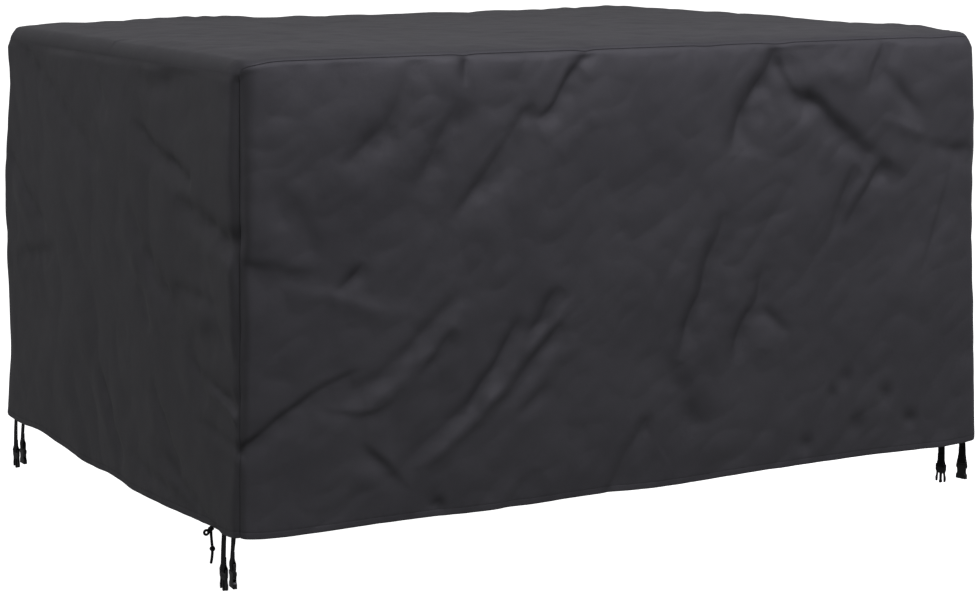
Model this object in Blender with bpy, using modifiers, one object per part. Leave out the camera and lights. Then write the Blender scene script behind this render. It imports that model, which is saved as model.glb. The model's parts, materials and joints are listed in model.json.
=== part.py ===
"""Fitted rectangular cover for garden furniture, hanging empty as it does over a table and chairs.

Five sewn panels of coated cloth, a pair of webbing straps with the two halves of a side-release buckle at each corner,
and the knotted end of the drawcord that runs in the hem.

Metres, +Z up. X runs along the front, Y from front to back. The origin is on the underside of the top, at its middle.
"""

import math
from collections import namedtuple

import bmesh
import bpy
from mathutils import Matrix, Vector

# Driving dimensions -------------------------------------------------------------------------------------------------

WIDTH = 1.78  # front and back, at half height
DEPTH = 1.30  # left and right sides, at half height
HEIGHT = 0.90  # from the top edge down to the hem
FLARE = 0.010  # each side stands in by this at the top edge and out by this at the hem
SHEET = 0.0015  # cloth with its coating and small folds
HEM_SHEET = 0.0025  # the hem is turned up twice
HEM_DEEP = 0.022
GAP = 0.0003  # between pieces that touch
SEAM_GAP = 0.0005  # between the edges of two panels, which are faceted

TOP_CORNER = 0.045  # plan radius of the upright corners, at the top edge
HEM_CORNER = 0.018  # and at the hem
CROWN = 0.012  # the top stands this far above its edge
CROWN_REACH = 0.06  # how fast it gets there

Roll = namedtuple("Roll", "radius seam_angle")  # the top edge's round, and how far round it the seam lies
LONG_ROLL = Roll(0.014, math.radians(50))
LEFT_ROLL = Roll(0.042, math.radians(84))
RIGHT_ROLL = Roll(0.026, math.radians(68))
ROLL_BLEND = (0.785, 0.865)  # distance from the middle over which a long side's roll turns into a short side's

WEBBING = 0.0185  # strap width
STRAP_SHEET = 0.0015
STRAP_SEWN = 0.025  # length sewn behind the hem
STRAP_CLEAR = 0.0005  # between a strap and the bar that it turns round
STRAP_RETURN = 0.016  # length of the end that is sewn back on the strap, above the buckle

BUCKLE_WIDTH = 0.027
MALE_LONG = 0.044
MALE_THICK = 0.0055
FEMALE_LONG = 0.048
FEMALE_THICK = 0.0080

CORD = 0.0045  # drawcord diameter
CORD_AT = -0.540  # where it leaves the left hem, along Y

EDGE_Z = SHEET - CROWN  # height of the top edge: the middle's underside is at zero

# Grid lines of the panels: (flat cells along X, flat cells along Y, cells down), and the steps round a corner
FRONT_CELLS = (36, 15)
BACK_CELLS = (18, 8)
LEFT_CELLS = (22, 15)
RIGHT_CELLS = (12, 8)
TOP_CELLS = (18, 12)
CORNER_STEPS = (1.0, 0.90, 0.70, 0.38)  # share of the corner's square, from the seam to the flat
SHOULDER = 0.06  # every flat's first and last cell, as a share of its half length, so that both sides of a seam agree
ROLL_STEPS = 2

# Main folds, each a soft trough (depth above zero) or ridge (below zero) along a line. On the sides a point is given by
# its X or Y and how far it lies below the top edge, and on the top by its X and Y.
Fold = namedtuple("Fold", "panel start end half_width depth")
FOLDS = (
    Fold("front", (-0.90, 0.731), (-0.62, 0.590), 0.030, 0.010),
    Fold("front", (-0.67, 0.674), (-0.43, 0.496), 0.034, -0.009),
    Fold("front", (-0.60, 0.600), (-0.46, 0.474), 0.026, 0.007),
    Fold("front", (-0.54, 0.650), (-0.45, 0.550), 0.030, 0.006),
    Fold("front", (-0.86, 0.370), (-0.70, 0.405), 0.034, 0.006),
    Fold("front", (-0.80, 0.240), (-0.73, 0.370), 0.036, -0.006),
    Fold("front", (-0.535, 0.03), (-0.64, 0.190), 0.034, 0.006),
    Fold("front", (-0.42, 0.087), (-0.52, 0.241), 0.030, 0.006),
    Fold("front", (-0.13, 0.020), (-0.21, 0.115), 0.028, 0.008),
    Fold("front", (-0.26, 0.130), (-0.42, 0.300), 0.032, 0.006),
    Fold("front", (-0.30, 0.551), (-0.40, 0.675), 0.026, 0.007),
    Fold("front", (-0.29, 0.622), (-0.54, 0.818), 0.034, -0.007),
    Fold("front", (-0.20, 0.557), (-0.37, 0.726), 0.030, 0.007),
    Fold("front", (0.34, 0.020), (0.227, 0.216), 0.030, 0.009),
    Fold("front", (0.40, 0.100), (0.63, 0.261), 0.030, 0.009),
    Fold("front", (0.633, 0.261), (0.517, 0.442), 0.030, 0.007),
    Fold("front", (0.68, 0.184), (0.86, 0.249), 0.030, -0.006),
    Fold("front", (0.21, 0.321), (0.10, 0.629), 0.030, 0.008),
    Fold("front", (0.30, 0.528), (0.23, 0.655), 0.028, 0.006),
    Fold("front", (0.07, 0.666), (0.19, 0.767), 0.045, 0.006),
    Fold("front", (0.00, 0.770), (-0.07, 0.880), 0.030, 0.007),
    Fold("front", (0.50, 0.740), (0.70, 0.820), 0.060, 0.004),
    Fold("left", (-0.193, 0.162), (-0.421, 0.222), 0.030, 0.008),
    Fold("left", (-0.382, 0.284), (-0.655, 0.326), 0.034, 0.009),
    Fold("left", (0.555, 0.312), (0.373, 0.396), 0.028, 0.007),
    Fold("left", (-0.166, 0.307), (-0.412, 0.461), 0.040, 0.006),
    Fold("left", (-0.285, 0.702), (-0.548, 0.866), 0.032, 0.008),
    Fold("left", (0.05, 0.701), (-0.091, 0.819), 0.034, 0.006),
    Fold("left", (0.454, 0.050), (0.341, 0.130), 0.040, 0.006),
    Fold("back", (-0.50, 0.080), (-0.30, 0.420), 0.050, 0.008),
    Fold("back", (0.20, 0.060), (0.36, 0.500), 0.050, 0.008),
    Fold("back", (-0.10, 0.850), (0.10, 0.450), 0.055, 0.009),
    Fold("back", (0.70, 0.500), (0.50, 0.820), 0.050, 0.008),
    Fold("right", (-0.30, 0.080), (-0.10, 0.400), 0.050, 0.008),
    Fold("right", (0.35, 0.300), (0.15, 0.700), 0.050, 0.008),
    Fold("right", (-0.45, 0.800), (-0.20, 0.520), 0.050, 0.007),
    Fold("top", (-0.55, -0.30), (-0.20, 0.35), 0.060, 0.005),
    Fold("top", (0.10, -0.40), (0.45, 0.25), 0.060, 0.005),
    Fold("top", (-0.72, 0.05), (-0.45, 0.50), 0.070, -0.005),
    Fold("top", (0.25, 0.50), (0.62, 0.15), 0.080, -0.005),
)

# Dents where a fold runs round an upright corner: (side of X, side of Y, distance below the top edge)
CornerDent = namedtuple("CornerDent", "corner down half_height depth")
CORNER_DENTS = (
    CornerDent((-1, -1), 0.326, 0.040, 0.006),
    CornerDent((-1, -1), 0.731, 0.035, 0.008),
    CornerDent((1, -1), 0.270, 0.040, 0.004),
    CornerDent((-1, 1), 0.520, 0.060, 0.005),
    CornerDent((1, 1), 0.420, 0.060, 0.006),
)
CORNER_FADE = 0.045  # folds fade into the corner's own dents over this length
SEAM_FADE = 0.060  # and to nothing at the top seam

# The hem hangs a little lower or higher than HEIGHT here and there
HemWave = namedtuple("HemWave", "panel at half_length lower")
HEM_WAVES = (
    HemWave("front", -0.28, 0.10, 0.0030),
    HemWave("front", 0.08, 0.12, 0.0045),
    HemWave("front", 0.74, 0.12, 0.0025),
    HemWave("left", -0.25, 0.20, 0.0055),
    HemWave("left", 0.13, 0.09, 0.0040),
    HemWave("left", 0.46, 0.14, -0.0090),
    HemWave("back", -0.30, 0.25, 0.0040),
    HemWave("back", 0.45, 0.20, -0.0030),
    HemWave("right", 0.10, 0.25, 0.0040),
)
HEM_CORNER_LIFT = 0.008
HEM_CORNER_REACH = 0.05

# Straps: the side and place along Y where each is sewn, its length from the hem to the buckle, and how far it is turned
Strap = namedtuple("Strap", "name panel at hang half turn")
STRAPS = (
    Strap("near_left_female", "left", -0.627, 0.050, "female", math.radians(-4)),
    Strap("near_left_male", "left", -0.575, 0.071, "male", math.radians(3)),
    Strap("far_left_female", "left", 0.552, 0.052, "female", math.radians(1)),
    Strap("far_left_male", "left", 0.602, 0.076, "male", math.radians(5)),
    Strap("near_right_female", "right", -0.613, 0.056, "female", math.radians(11)),
    Strap("near_right_male", "right", -0.543, 0.082, "male", math.radians(12)),
    Strap("far_right_female", "right", 0.532, 0.050, "female", math.radians(4)),
    Strap("far_right_male", "right", 0.582, 0.068, "male", math.radians(4)),
)

Material = namedtuple("Material", "name colour roughness")
CLOTH = Material("coated cloth", (0.045, 0.045, 0.050, 1.0), 0.62)
STRAPPING = Material("webbing", (0.010, 0.010, 0.011, 1.0), 0.70)
MOULDED = Material("moulded plastic", (0.008, 0.008, 0.009, 1.0), 0.40)
BRAID = Material("drawcord", (0.010, 0.010, 0.010, 1.0), 0.75)

# The plain shape ----------------------------------------------------------------------------------------------------

Side = namedtuple("Side", "outward along half_length half_across")
SIDES = {
    "front": Side(Vector((0, -1, 0)), Vector((1, 0, 0)), WIDTH / 2, DEPTH / 2),
    "back": Side(Vector((0, 1, 0)), Vector((1, 0, 0)), WIDTH / 2, DEPTH / 2),
    "left": Side(Vector((-1, 0, 0)), Vector((0, 1, 0)), DEPTH / 2, WIDTH / 2),
    "right": Side(Vector((1, 0, 0)), Vector((0, 1, 0)), DEPTH / 2, WIDTH / 2),
}
UP = Vector((0, 0, 1))
Station = namedtuple("Station", "fraction corner")  # place along a flat stretch, and share of the corner's square


def smooth(low, high, value):
    share = min(1.0, max(0.0, (value - low) / (high - low)))
    return share * share * (3 - 2 * share)


def stations(cells):
    """The grid lines along a side: round the first corner, along the flat, round the last corner."""
    before = [Station(-1.0, -step) for step in CORNER_STEPS]
    even = cells - 2
    flat = [Station((1 - SHOULDER) * (2 * i / even - 1), 0.0) for i in range(even + 1)]
    after = [Station(1.0, step) for step in reversed(CORNER_STEPS)]
    return before + [Station(-1.0, 0.0)] + flat + [Station(1.0, 0.0)] + after


def corner_angle(station):
    return math.asin(station.corner / math.sqrt(2))


def corner_radius(down):
    return TOP_CORNER + (HEM_CORNER - TOP_CORNER) * down / HEIGHT


def plan_point(panel, station_fraction, angle, down):
    """Point of the outline at a level, and the direction the cloth faces there."""
    side = SIDES[panel]
    radius = corner_radius(down)
    lean = FLARE * (2 * down / HEIGHT - 1)
    along = station_fraction * (side.half_length + lean - radius) + radius * math.sin(angle)
    out = side.half_across + lean - radius + radius * math.cos(angle)
    facing = side.along * math.sin(angle) + side.outward * math.cos(angle)
    return side.along * along + side.outward * out, facing


def roll_at(x):
    """The top edge's round at this X."""
    end = LEFT_ROLL if x < 0 else RIGHT_ROLL
    share = smooth(*ROLL_BLEND, abs(x))
    return Roll(*(middle + (short - middle) * share for middle, short in zip(LONG_ROLL, end)))


def crown(inset):
    return CROWN * (1 - math.exp(-inset / CROWN_REACH))


def rolled_point(panel, fraction, angle, round_angle=None, shift=0.0):
    """Point on the top edge's round, at the seam unless an angle is given, shifted along the cloth from there."""
    roll = roll_at(plan_point(panel, fraction, angle, 0.0)[0].x)
    turned = (roll.seam_angle if round_angle is None else round_angle) + shift / roll.radius
    inset = roll.radius * (1 - math.sin(turned))
    down = roll.radius * (1 - math.cos(turned))
    place, facing = plan_point(panel, fraction, angle, down)
    place -= facing * inset
    place.z = EDGE_Z - down + crown(inset)
    return place, facing * math.sin(turned) + UP * math.cos(turned)


def hem_down(panel, along):
    """How far below the top edge the hem hangs."""
    down = HEIGHT
    for wave in HEM_WAVES:
        if wave.panel == panel:
            down += wave.lower * math.exp(-(((along - wave.at) / wave.half_length) ** 2))
    from_corner = max(0.0, SIDES[panel].half_length + FLARE - abs(along))
    return down - HEM_CORNER_LIFT * math.exp(-from_corner / HEM_CORNER_REACH)


def hanging_point(panel, fraction, angle, share):
    """Point below the round: share runs from 0 at the round to 1 at the hem."""
    side = SIDES[panel]
    radius = roll_at(plan_point(panel, fraction, angle, 0.0)[0].x).radius
    along = plan_point(panel, fraction, angle, HEIGHT)[0].dot(side.along)
    down = radius + share * (hem_down(panel, along) - radius)
    place, facing = plan_point(panel, fraction, angle, down)
    place.z = EDGE_Z + crown(0.0) - down
    return place, facing


def top_point(across, along):
    """Point of the top for a pair of grid lines, inside its edge."""
    half = (WIDTH / 2 - FLARE - TOP_CORNER, DEPTH / 2 - FLARE - TOP_CORNER)
    square = (across.corner * TOP_CORNER, along.corner * TOP_CORNER)
    shrink = 2 * TOP_CORNER**2
    disc = (square[0] * math.sqrt(1 - square[1] ** 2 / shrink), square[1] * math.sqrt(1 - square[0] ** 2 / shrink))
    place = Vector((across.fraction * half[0] + disc[0], along.fraction * half[1] + disc[1], 0))
    outward = Vector((disc[0], disc[1], 0))
    beyond = outward.length
    if not beyond:
        gaps = [half[i] - abs(place[i]) for i in (0, 1)]
        beyond = -min(gaps)
        outward = Vector((math.copysign(1, place.x), 0, 0) if gaps[0] < gaps[1] else (0, math.copysign(1, place.y), 0))
    outward.normalize()
    roll = roll_at(place.x)
    seam_inset = roll.radius * (1 - math.sin(roll.seam_angle))
    inset = TOP_CORNER - beyond
    added = seam_inset * max(0.0, 1 - inset / TOP_CORNER)
    place -= outward * added
    inset += added
    turn = max(0.0, 1 - inset / roll.radius)
    place.z = EDGE_Z - roll.radius * (1 - math.sqrt(1 - turn * turn)) + crown(inset)
    return place, outward * turn + UP * math.sqrt(1 - turn * turn)


# Folds --------------------------------------------------------------------------------------------------------------


def fold_depth(panel, u, v):
    """How far the folds press the cloth in at a place on its panel."""
    total = 0.0
    for fold in FOLDS:
        if fold.panel != panel:
            continue
        run = (fold.end[0] - fold.start[0], fold.end[1] - fold.start[1])
        length = math.hypot(*run)
        offset = (u - fold.start[0], v - fold.start[1])
        ahead = (offset[0] * run[0] + offset[1] * run[1]) / length
        aside = (offset[0] * run[1] - offset[1] * run[0]) / length
        past = max(0.0, -ahead, ahead - length)
        total += fold.depth * math.exp(-(aside**2 + past**2) / fold.half_width**2)
    return total


def corner_depth(corner, down):
    total = 0.0
    for dent in CORNER_DENTS:
        if dent.corner == corner:
            total += dent.depth * math.exp(-(((down - dent.down) / dent.half_height) ** 2))
    return total


def fold_side(panel, place, facing):
    """The place on a side, pressed in by its folds."""
    side = SIDES[panel]
    along, down = place.dot(side.along), EDGE_Z - place.z
    corner = tuple(int(math.copysign(1, value)) for value in place.xy)
    from_seam = side.half_length + FLARE * (2 * down / HEIGHT - 1) - abs(along)
    free = smooth(0.0, CORNER_FADE, from_seam - (1 - math.sqrt(0.5)) * corner_radius(down))
    depth = fold_depth(panel, along, down) * free + corner_depth(corner, down) * (1 - free)
    return place - facing * depth * smooth(0.0, SEAM_FADE, down)


def fold_top(place, facing):
    edge = min(WIDTH / 2 - abs(place.x), DEPTH / 2 - abs(place.y))
    return place - facing * fold_depth("top", place.x, place.y) * smooth(0.0, 2 * SEAM_FADE, edge)


# Making objects -----------------------------------------------------------------------------------------------------


def clear_scene():
    for obj in list(bpy.data.objects):
        bpy.data.objects.remove(obj, do_unlink=True)


def material_for(finish):
    found = bpy.data.materials.get(finish.name)
    if found:
        return found
    made = bpy.data.materials.new(finish.name)
    made.use_nodes = True
    shader = made.node_tree.nodes["Principled BSDF"]
    shader.inputs["Base Color"].default_value = finish.colour
    shader.inputs["Roughness"].default_value = finish.roughness
    return made


def add_object(name, shape, finish):
    """An object from a bmesh, which it frees. A closed shape is turned so that its faces point out."""
    bmesh.ops.recalc_face_normals(shape, faces=list(shape.faces))
    if shape.calc_volume(signed=True) < 0:
        bmesh.ops.reverse_faces(shape, faces=list(shape.faces))
    mesh = bpy.data.meshes.new(name)
    shape.to_mesh(mesh)
    shape.free()
    mesh.shade_smooth()
    mesh.set_sharp_from_angle(angle=math.radians(40))
    mesh.materials.append(material_for(finish))
    obj = bpy.data.objects.new(name, mesh)
    bpy.data.collections["patio cover"].objects.link(obj)
    return obj


def add_sheet(name, cells, place_of):
    """A closed sheet from a grid: place_of(i, j) gives the outer point, the way it faces and the thickness there."""
    shape = bmesh.new()
    bmesh.ops.create_grid(shape, x_segments=cells[0], y_segments=cells[1], size=0.5)
    outer = list(shape.verts)
    made = bmesh.ops.extrude_face_region(shape, geom=list(shape.faces), use_keep_orig=True)
    inner = [item for item in made["geom"] if isinstance(item, bmesh.types.BMVert)]
    for layer, points in enumerate((outer, inner)):
        for point in points:
            i = round((point.co.x + 0.5) * cells[0])
            j = round((point.co.y + 0.5) * cells[1])
            place, facing, thickness = place_of(i, j)
            point.co = place - facing * thickness * layer
    return add_object(name, shape, CLOTH)


def add_side(panel, cells):
    """A side panel: columns run round its two corners, rows round the top edge and down to the hem."""
    columns = stations(cells[0])
    hem_share = 1 - HEM_DEEP / HEIGHT
    shares = [hem_share * (j + 1) / cells[1] for j in range(cells[1])] + [1.0]
    rows = ROLL_STEPS + len(shares)

    def place_of(i, j):
        fraction, angle = columns[i].fraction, corner_angle(columns[i])
        if i in (0, len(columns) - 1):
            angle -= math.copysign(SEAM_GAP / 2 / HEM_CORNER, angle)
        if j == 0:
            place, facing = rolled_point(panel, fraction, angle, shift=SEAM_GAP / 2)
        elif j <= ROLL_STEPS:
            seam = roll_at(plan_point(panel, fraction, angle, 0.0)[0].x).seam_angle
            place, facing = rolled_point(panel, fraction, angle, seam + (math.pi / 2 - seam) * j / ROLL_STEPS)
        else:
            place, facing = hanging_point(panel, fraction, angle, shares[j - ROLL_STEPS - 1])
        return fold_side(panel, place, facing), facing, HEM_SHEET if j == rows else SHEET

    return add_sheet(f"panel_{panel}", (len(columns) - 1, rows), place_of)


def add_top():
    """The top panel: its edge follows the seams of the four sides."""
    across, along = stations(TOP_CELLS[0]), stations(TOP_CELLS[1])
    last = (len(across) - 1, len(along) - 1)

    def place_of(i, j):
        if j in (0, last[1]):
            station, panel = across[i], "front" if j == 0 else "back"
        elif i in (0, last[0]):
            station, panel = along[j], "left" if i == 0 else "right"
        else:
            place, facing = top_point(across[i], along[j])
            return fold_top(place, facing), facing, SHEET
        place, facing = rolled_point(panel, station.fraction, corner_angle(station), shift=-SEAM_GAP / 2)
        return place, facing, SHEET

    return add_sheet("panel_top", last, place_of)


# Straps and buckles -------------------------------------------------------------------------------------------------

# Each buckle half stands in its own frame: X across, Z up from the top of its neck, Y through its thickness.
Bar = namedtuple("Bar", "top bottom thick slot_bottom")
BARS = {"male": Bar(0.0, -0.0045, MALE_THICK, -0.0100), "female": Bar(0.0, -0.0100, 0.0044, -0.0155)}
SLOT_WIDTH = WEBBING + 0.0016
SOCKET = (0.0220, 0.0058, 0.0300)  # width, thickness and depth of the female half's socket


def plate(name, outlines, thickness, finish=MOULDED):
    """A flat outline with holes, extruded to a thickness, as a mesh object lying in XZ."""
    curve = bpy.data.curves.new(name, "CURVE")
    curve.dimensions = "2D"
    curve.fill_mode = "BOTH"
    curve.extrude = thickness / 2
    for outline in outlines:
        spline = curve.splines.new("POLY")
        spline.points.add(len(outline) - 1)
        for point, (x, z) in zip(spline.points, outline):
            point.co = (x, z, 0, 1)
        spline.use_cyclic_u = True
    guide = bpy.data.objects.new(name, curve)
    bpy.context.scene.collection.objects.link(guide)
    evaluated = guide.evaluated_get(bpy.context.evaluated_depsgraph_get())
    mesh = bpy.data.meshes.new_from_object(evaluated)
    bpy.data.objects.remove(guide)
    shape = bmesh.new()
    shape.from_mesh(mesh)
    bmesh.ops.remove_doubles(shape, verts=list(shape.verts), dist=1e-5)
    bmesh.ops.rotate(shape, verts=list(shape.verts), cent=(0, 0, 0), matrix=Matrix.Rotation(math.pi / 2, 3, "X"))
    return add_object(name, shape, finish)


def mirrored(half):
    """An outline from the points of its right half, top to bottom."""
    return half + [(-x, z) for x, z in reversed(half)]


def box_outline(width, top, bottom):
    return [(-width / 2, bottom), (width / 2, bottom), (width / 2, top), (-width / 2, top)]


def arc(centre, radius, first, last, steps):
    turns = [math.radians(first + (last - first) * i / steps) for i in range(steps + 1)]
    return [(centre[0] + radius * math.cos(turn), centre[1] + radius * math.sin(turn)) for turn in turns]


def male_outline():
    """Ears and body, two side prongs that bow outwards, and a longer middle prong with a round end."""
    wide = BUCKLE_WIDTH / 2
    root = -0.0210
    tip = -MALE_LONG
    body = [(wide - 0.001, 0.0), (wide, -0.001), (wide, -0.0140), (0.0112, -0.0185)]
    prong_out = [(0.0108, -0.0225), (0.0125, -0.0280), (wide, -0.0320), (0.0130, -0.0370)]
    prong_tip = arc((0.0103, -0.0395), 0.0017, 0, -180, 4)
    prong_in = [(0.0078, -0.0330), (0.0072, root - 0.0010)]
    middle = [(0.0052, root), (0.0029, root - 0.0010), (0.0026, -0.0370)]
    ball = arc((0.0, tip + 0.0036), 0.0036, 0, -90, 4)[:-1]
    half = body + prong_out + prong_tip + prong_in + middle + ball
    return half + [(0.0, tip)] + [(-x, z) for x, z in reversed(half)]


def female_outline():
    """A tapered neck, a wide frame, a waist where the side prongs show, and a wide mouth."""
    wide = BUCKLE_WIDTH / 2
    neck = [(0.0103, 0.0), (0.0112, -0.0010), (wide, -0.0120), (wide, -0.0220)]
    waist = [(0.0107, -0.0240), (0.0104, -0.0300), (0.0107, -0.0360)]
    mouth = [(wide, -0.0380), (wide, -FEMALE_LONG + 0.0008), (wide - 0.0008, -FEMALE_LONG)]
    return mirrored(neck + waist + mouth)


def cut(obj, name, size, centre):
    """Cuts a box from an object with a Boolean."""
    shape = bmesh.new()
    bmesh.ops.create_cube(shape, size=1.0)
    bmesh.ops.scale(shape, verts=list(shape.verts), vec=size)
    bmesh.ops.translate(shape, verts=list(shape.verts), vec=centre)
    mesh = bpy.data.meshes.new(name)
    shape.to_mesh(mesh)
    shape.free()
    cutter = bpy.data.objects.new(name, mesh)
    cutter.hide_render = True
    cutter.display_type = "WIRE"
    cutter.parent = obj
    bpy.data.collections["cutters"].objects.link(cutter)
    modifier = obj.modifiers.new(name, "BOOLEAN")
    modifier.operation = "DIFFERENCE"
    modifier.object = cutter


def add_male(name):
    bar = BARS["male"]
    slot = box_outline(SLOT_WIDTH, bar.bottom, bar.slot_bottom)
    return plate(name, [male_outline(), slot], MALE_THICK)


def add_female(name):
    """The neck is thinner than the body, and the socket runs up from the mouth, open at the waist's sides."""
    bar = BARS["female"]
    slot = box_outline(SLOT_WIDTH, bar.bottom, bar.slot_bottom)
    obj = plate(name, [female_outline(), slot], FEMALE_THICK)
    trim = (FEMALE_THICK - bar.thick) / 2
    neck_long = -bar.slot_bottom
    for face in (-1, 1):
        cut(
            obj,
            f"{name}_neck_cutter_{'front' if face < 0 else 'back'}",
            (2 * BUCKLE_WIDTH, trim + 0.002, neck_long + 0.002),
            (0, face * (FEMALE_THICK / 2 - trim / 2 + 0.001), 0.001 - neck_long / 2),
        )
    width, thick, deep = SOCKET
    cut(obj, f"{name}_socket_cutter", (width, thick, deep + 0.002), (0, 0, -FEMALE_LONG + deep / 2 - 0.001))
    return obj


def strap_reach(bar):
    """How far a strap's middle lies from the middle of the bar that it turns round."""
    return bar.thick / 2 + STRAP_CLEAR + STRAP_SHEET / 2


def strap_path(strap, bar):
    """Centre line of a strap in its own frame (Y towards the inside, Z up from the buckle's top): down in front of the
    bar, round under it through the slot, and back up behind it to where the end is sewn on."""
    reach = strap_reach(bar)
    low = bar.bottom - STRAP_CLEAR - STRAP_SHEET / 2
    back = -reach + STRAP_SHEET + GAP
    return [
        (-reach, strap.hang + STRAP_SEWN),
        (-reach, strap.hang),
        (-reach, strap.hang * 0.66),
        (-reach, strap.hang * 0.33 + 0.008),
        (-reach, 0.004),
        (-reach, bar.bottom + 0.0010),
        (-reach + 0.0003, low + 0.0003),
        (-reach + 0.0010, low),
        (reach - 0.0010, low),
        (reach - 0.0003, low + 0.0003),
        (reach, bar.bottom + 0.0010),
        (reach, 0.0015),
        (back, 0.0015 + 1.6 * reach),
        (back, 0.0015 + 1.6 * reach + STRAP_RETURN),
    ]


def add_strap(name, strap, bar):
    """Webbing along its path, turned a little on its way from the hem to the buckle."""
    shape = bmesh.new()
    for edge in (-WEBBING / 2, WEBBING / 2):
        for y, z in strap_path(strap, bar):
            turned = strap.turn * smooth(strap.hang + 0.004, strap.hang * 0.35, z)
            shape.verts.new(Matrix.Rotation(turned, 3, "Z") @ Vector((edge, y, z)))
    shape.verts.ensure_lookup_table()
    count = len(shape.verts) // 2
    for i in range(count - 1):
        shape.faces.new([shape.verts[k] for k in (i, i + 1, count + i + 1, count + i)])
    obj = add_object(name, shape, STRAPPING)
    wall = obj.modifiers.new("webbing thickness", "SOLIDIFY")
    wall.thickness = STRAP_SHEET
    wall.offset = 0.0
    wall.use_even_offset = True
    return obj


def cloth_face(panel, along, z, inside):
    """How far out of the middle the inner or the outer face of a side panel lies at a place on it."""
    side = SIDES[panel]
    start = side.along * along + UP * z + side.outward * (0 if inside else 2 * side.half_across)
    found, place, *_ = bpy.data.objects[f"panel_{panel}"].ray_cast(start, side.outward * (1 if inside else -1))
    if not found:
        raise ValueError(f"no cloth on the {panel} side at {along}, {z}")
    return place.dot(side.outward)


def strap_frame(strap):
    """The strap's own frame: its origin at the buckle's top, behind the hem, and -Y facing out of the cover."""
    side = SIDES[strap.panel]
    hem_z = EDGE_Z - hem_down(strap.panel, strap.at)
    heights = [STRAP_SEWN * (0.1 + 0.9 * j / 6) for j in range(7)]
    places = [strap.at + WEBBING * (i / 8 - 0.5) for i in range(9)]
    behind = [cloth_face(strap.panel, along, hem_z + height, True) for along in places for height in heights]
    out = min(behind) - GAP - STRAP_SHEET / 2 - strap_reach(BARS[strap.half])
    origin = side.along * strap.at + side.outward * out + UP * (hem_z - strap.hang)
    across = (-side.outward).cross(UP)
    return Matrix.Translation(origin) @ Matrix((across, -side.outward, UP)).transposed().to_4x4()


def add_strap_and_buckle(strap):
    bar = BARS[strap.half]
    place = strap_frame(strap)
    webbing = add_strap(f"strap_{strap.name}", strap, bar)
    webbing.matrix_world = place
    make = add_male if strap.half == "male" else add_female
    buckle = make(f"buckle_{strap.name}")
    buckle.matrix_world = place @ Matrix.Rotation(strap.turn, 4, "Z")


# Drawcord -----------------------------------------------------------------------------------------------------------

KNOT_SIZE = (0.0100, 0.0090, 0.0130)
HEM_KNOT_SIZE = (0.0095, 0.0120, 0.0090)
HEM_KNOT_Z = EDGE_Z - 0.8985
TAIL_KNOT_Z = EDGE_Z - 0.9395
CORD_END_Z = EDGE_Z - 0.9665
LOOP_RADIUS = 0.0050
LOOP_SIDE = 0.0099  # from the hem knot's middle out to the loop's, and down to it
LOOP_DOWN = 0.0060


def add_knot(name, centre, size):
    shape = bmesh.new()
    bmesh.ops.create_uvsphere(shape, u_segments=12, v_segments=8, radius=0.5)
    bmesh.ops.scale(shape, verts=list(shape.verts), vec=size)
    obj = add_object(name, shape, BRAID)
    obj.location = centre
    return obj


def add_cord(name, points):
    """A round cord along a smooth line, with closed ends."""
    curve = bpy.data.curves.new(name, "CURVE")
    curve.dimensions = "3D"
    curve.bevel_depth = CORD / 2
    curve.bevel_resolution = 2
    curve.use_fill_caps = True
    spline = curve.splines.new("POLY")
    spline.points.add(len(points) - 1)
    for point, place in zip(spline.points, points):
        point.co = (*place, 1)
    curve.materials.append(material_for(BRAID))
    obj = bpy.data.objects.new(name, curve)
    bpy.data.collections["patio cover"].objects.link(obj)
    return obj


def add_drawcord():
    """A knot at the hem with a small loop beside it, and a tail with a knot half way down."""
    y = CORD_AT
    x = -cloth_face("left", y, HEM_KNOT_Z, False) - GAP - HEM_KNOT_SIZE[0] / 2
    add_knot("drawcord_hem_knot", (x, y, HEM_KNOT_Z), HEM_KNOT_SIZE)
    centre = (x - LOOP_SIDE, HEM_KNOT_Z - LOOP_DOWN)
    turns = [math.radians(68 + 296 * i / 14) for i in range(15)]
    loop = [(centre[0] + LOOP_RADIUS * math.cos(t), y, centre[1] + LOOP_RADIUS * math.sin(t)) for t in turns]
    add_cord("drawcord_loop", loop)
    tail_top = HEM_KNOT_Z - HEM_KNOT_SIZE[2] / 2 - GAP - 0.0004
    knot_top = TAIL_KNOT_Z + KNOT_SIZE[2] / 2 + GAP
    knot_bottom = TAIL_KNOT_Z - KNOT_SIZE[2] / 2 - GAP
    sway = 0.0020
    upper = [(x + sway * i / 4, y, tail_top + (knot_top - tail_top) * i / 4) for i in range(5)]
    lower = [(x + sway * (1 - 2 * i / 4), y, knot_bottom + (CORD_END_Z - knot_bottom) * i / 4) for i in range(5)]
    add_cord("drawcord_tail_upper", upper)
    add_knot("drawcord_tail_knot", (x + sway, y, TAIL_KNOT_Z), KNOT_SIZE)
    add_cord("drawcord_tail_lower", lower)


def main():
    clear_scene()
    for name in ("patio cover", "cutters"):
        collection = bpy.data.collections.get(name) or bpy.data.collections.new(name)
        if name not in bpy.context.scene.collection.children:
            bpy.context.scene.collection.children.link(collection)
    add_top()
    for panel, cells in (
        ("front", FRONT_CELLS),
        ("back", BACK_CELLS),
        ("left", LEFT_CELLS),
        ("right", RIGHT_CELLS),
    ):
        add_side(panel, cells)
    bpy.context.view_layer.update()
    for strap in STRAPS:
        add_strap_and_buckle(strap)
    add_drawcord()


main()
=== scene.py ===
"""Looks of a fitted cover for garden furniture: five panels of creased coated cloth with turned-in seams
and a stitched hem, webbing straps with side-release buckles at the corners, and the hem's drawcord.

Metres, +Z up. X runs along the front and Y from front to back. The origin is at the middle of the top's
underside.
"""

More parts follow.
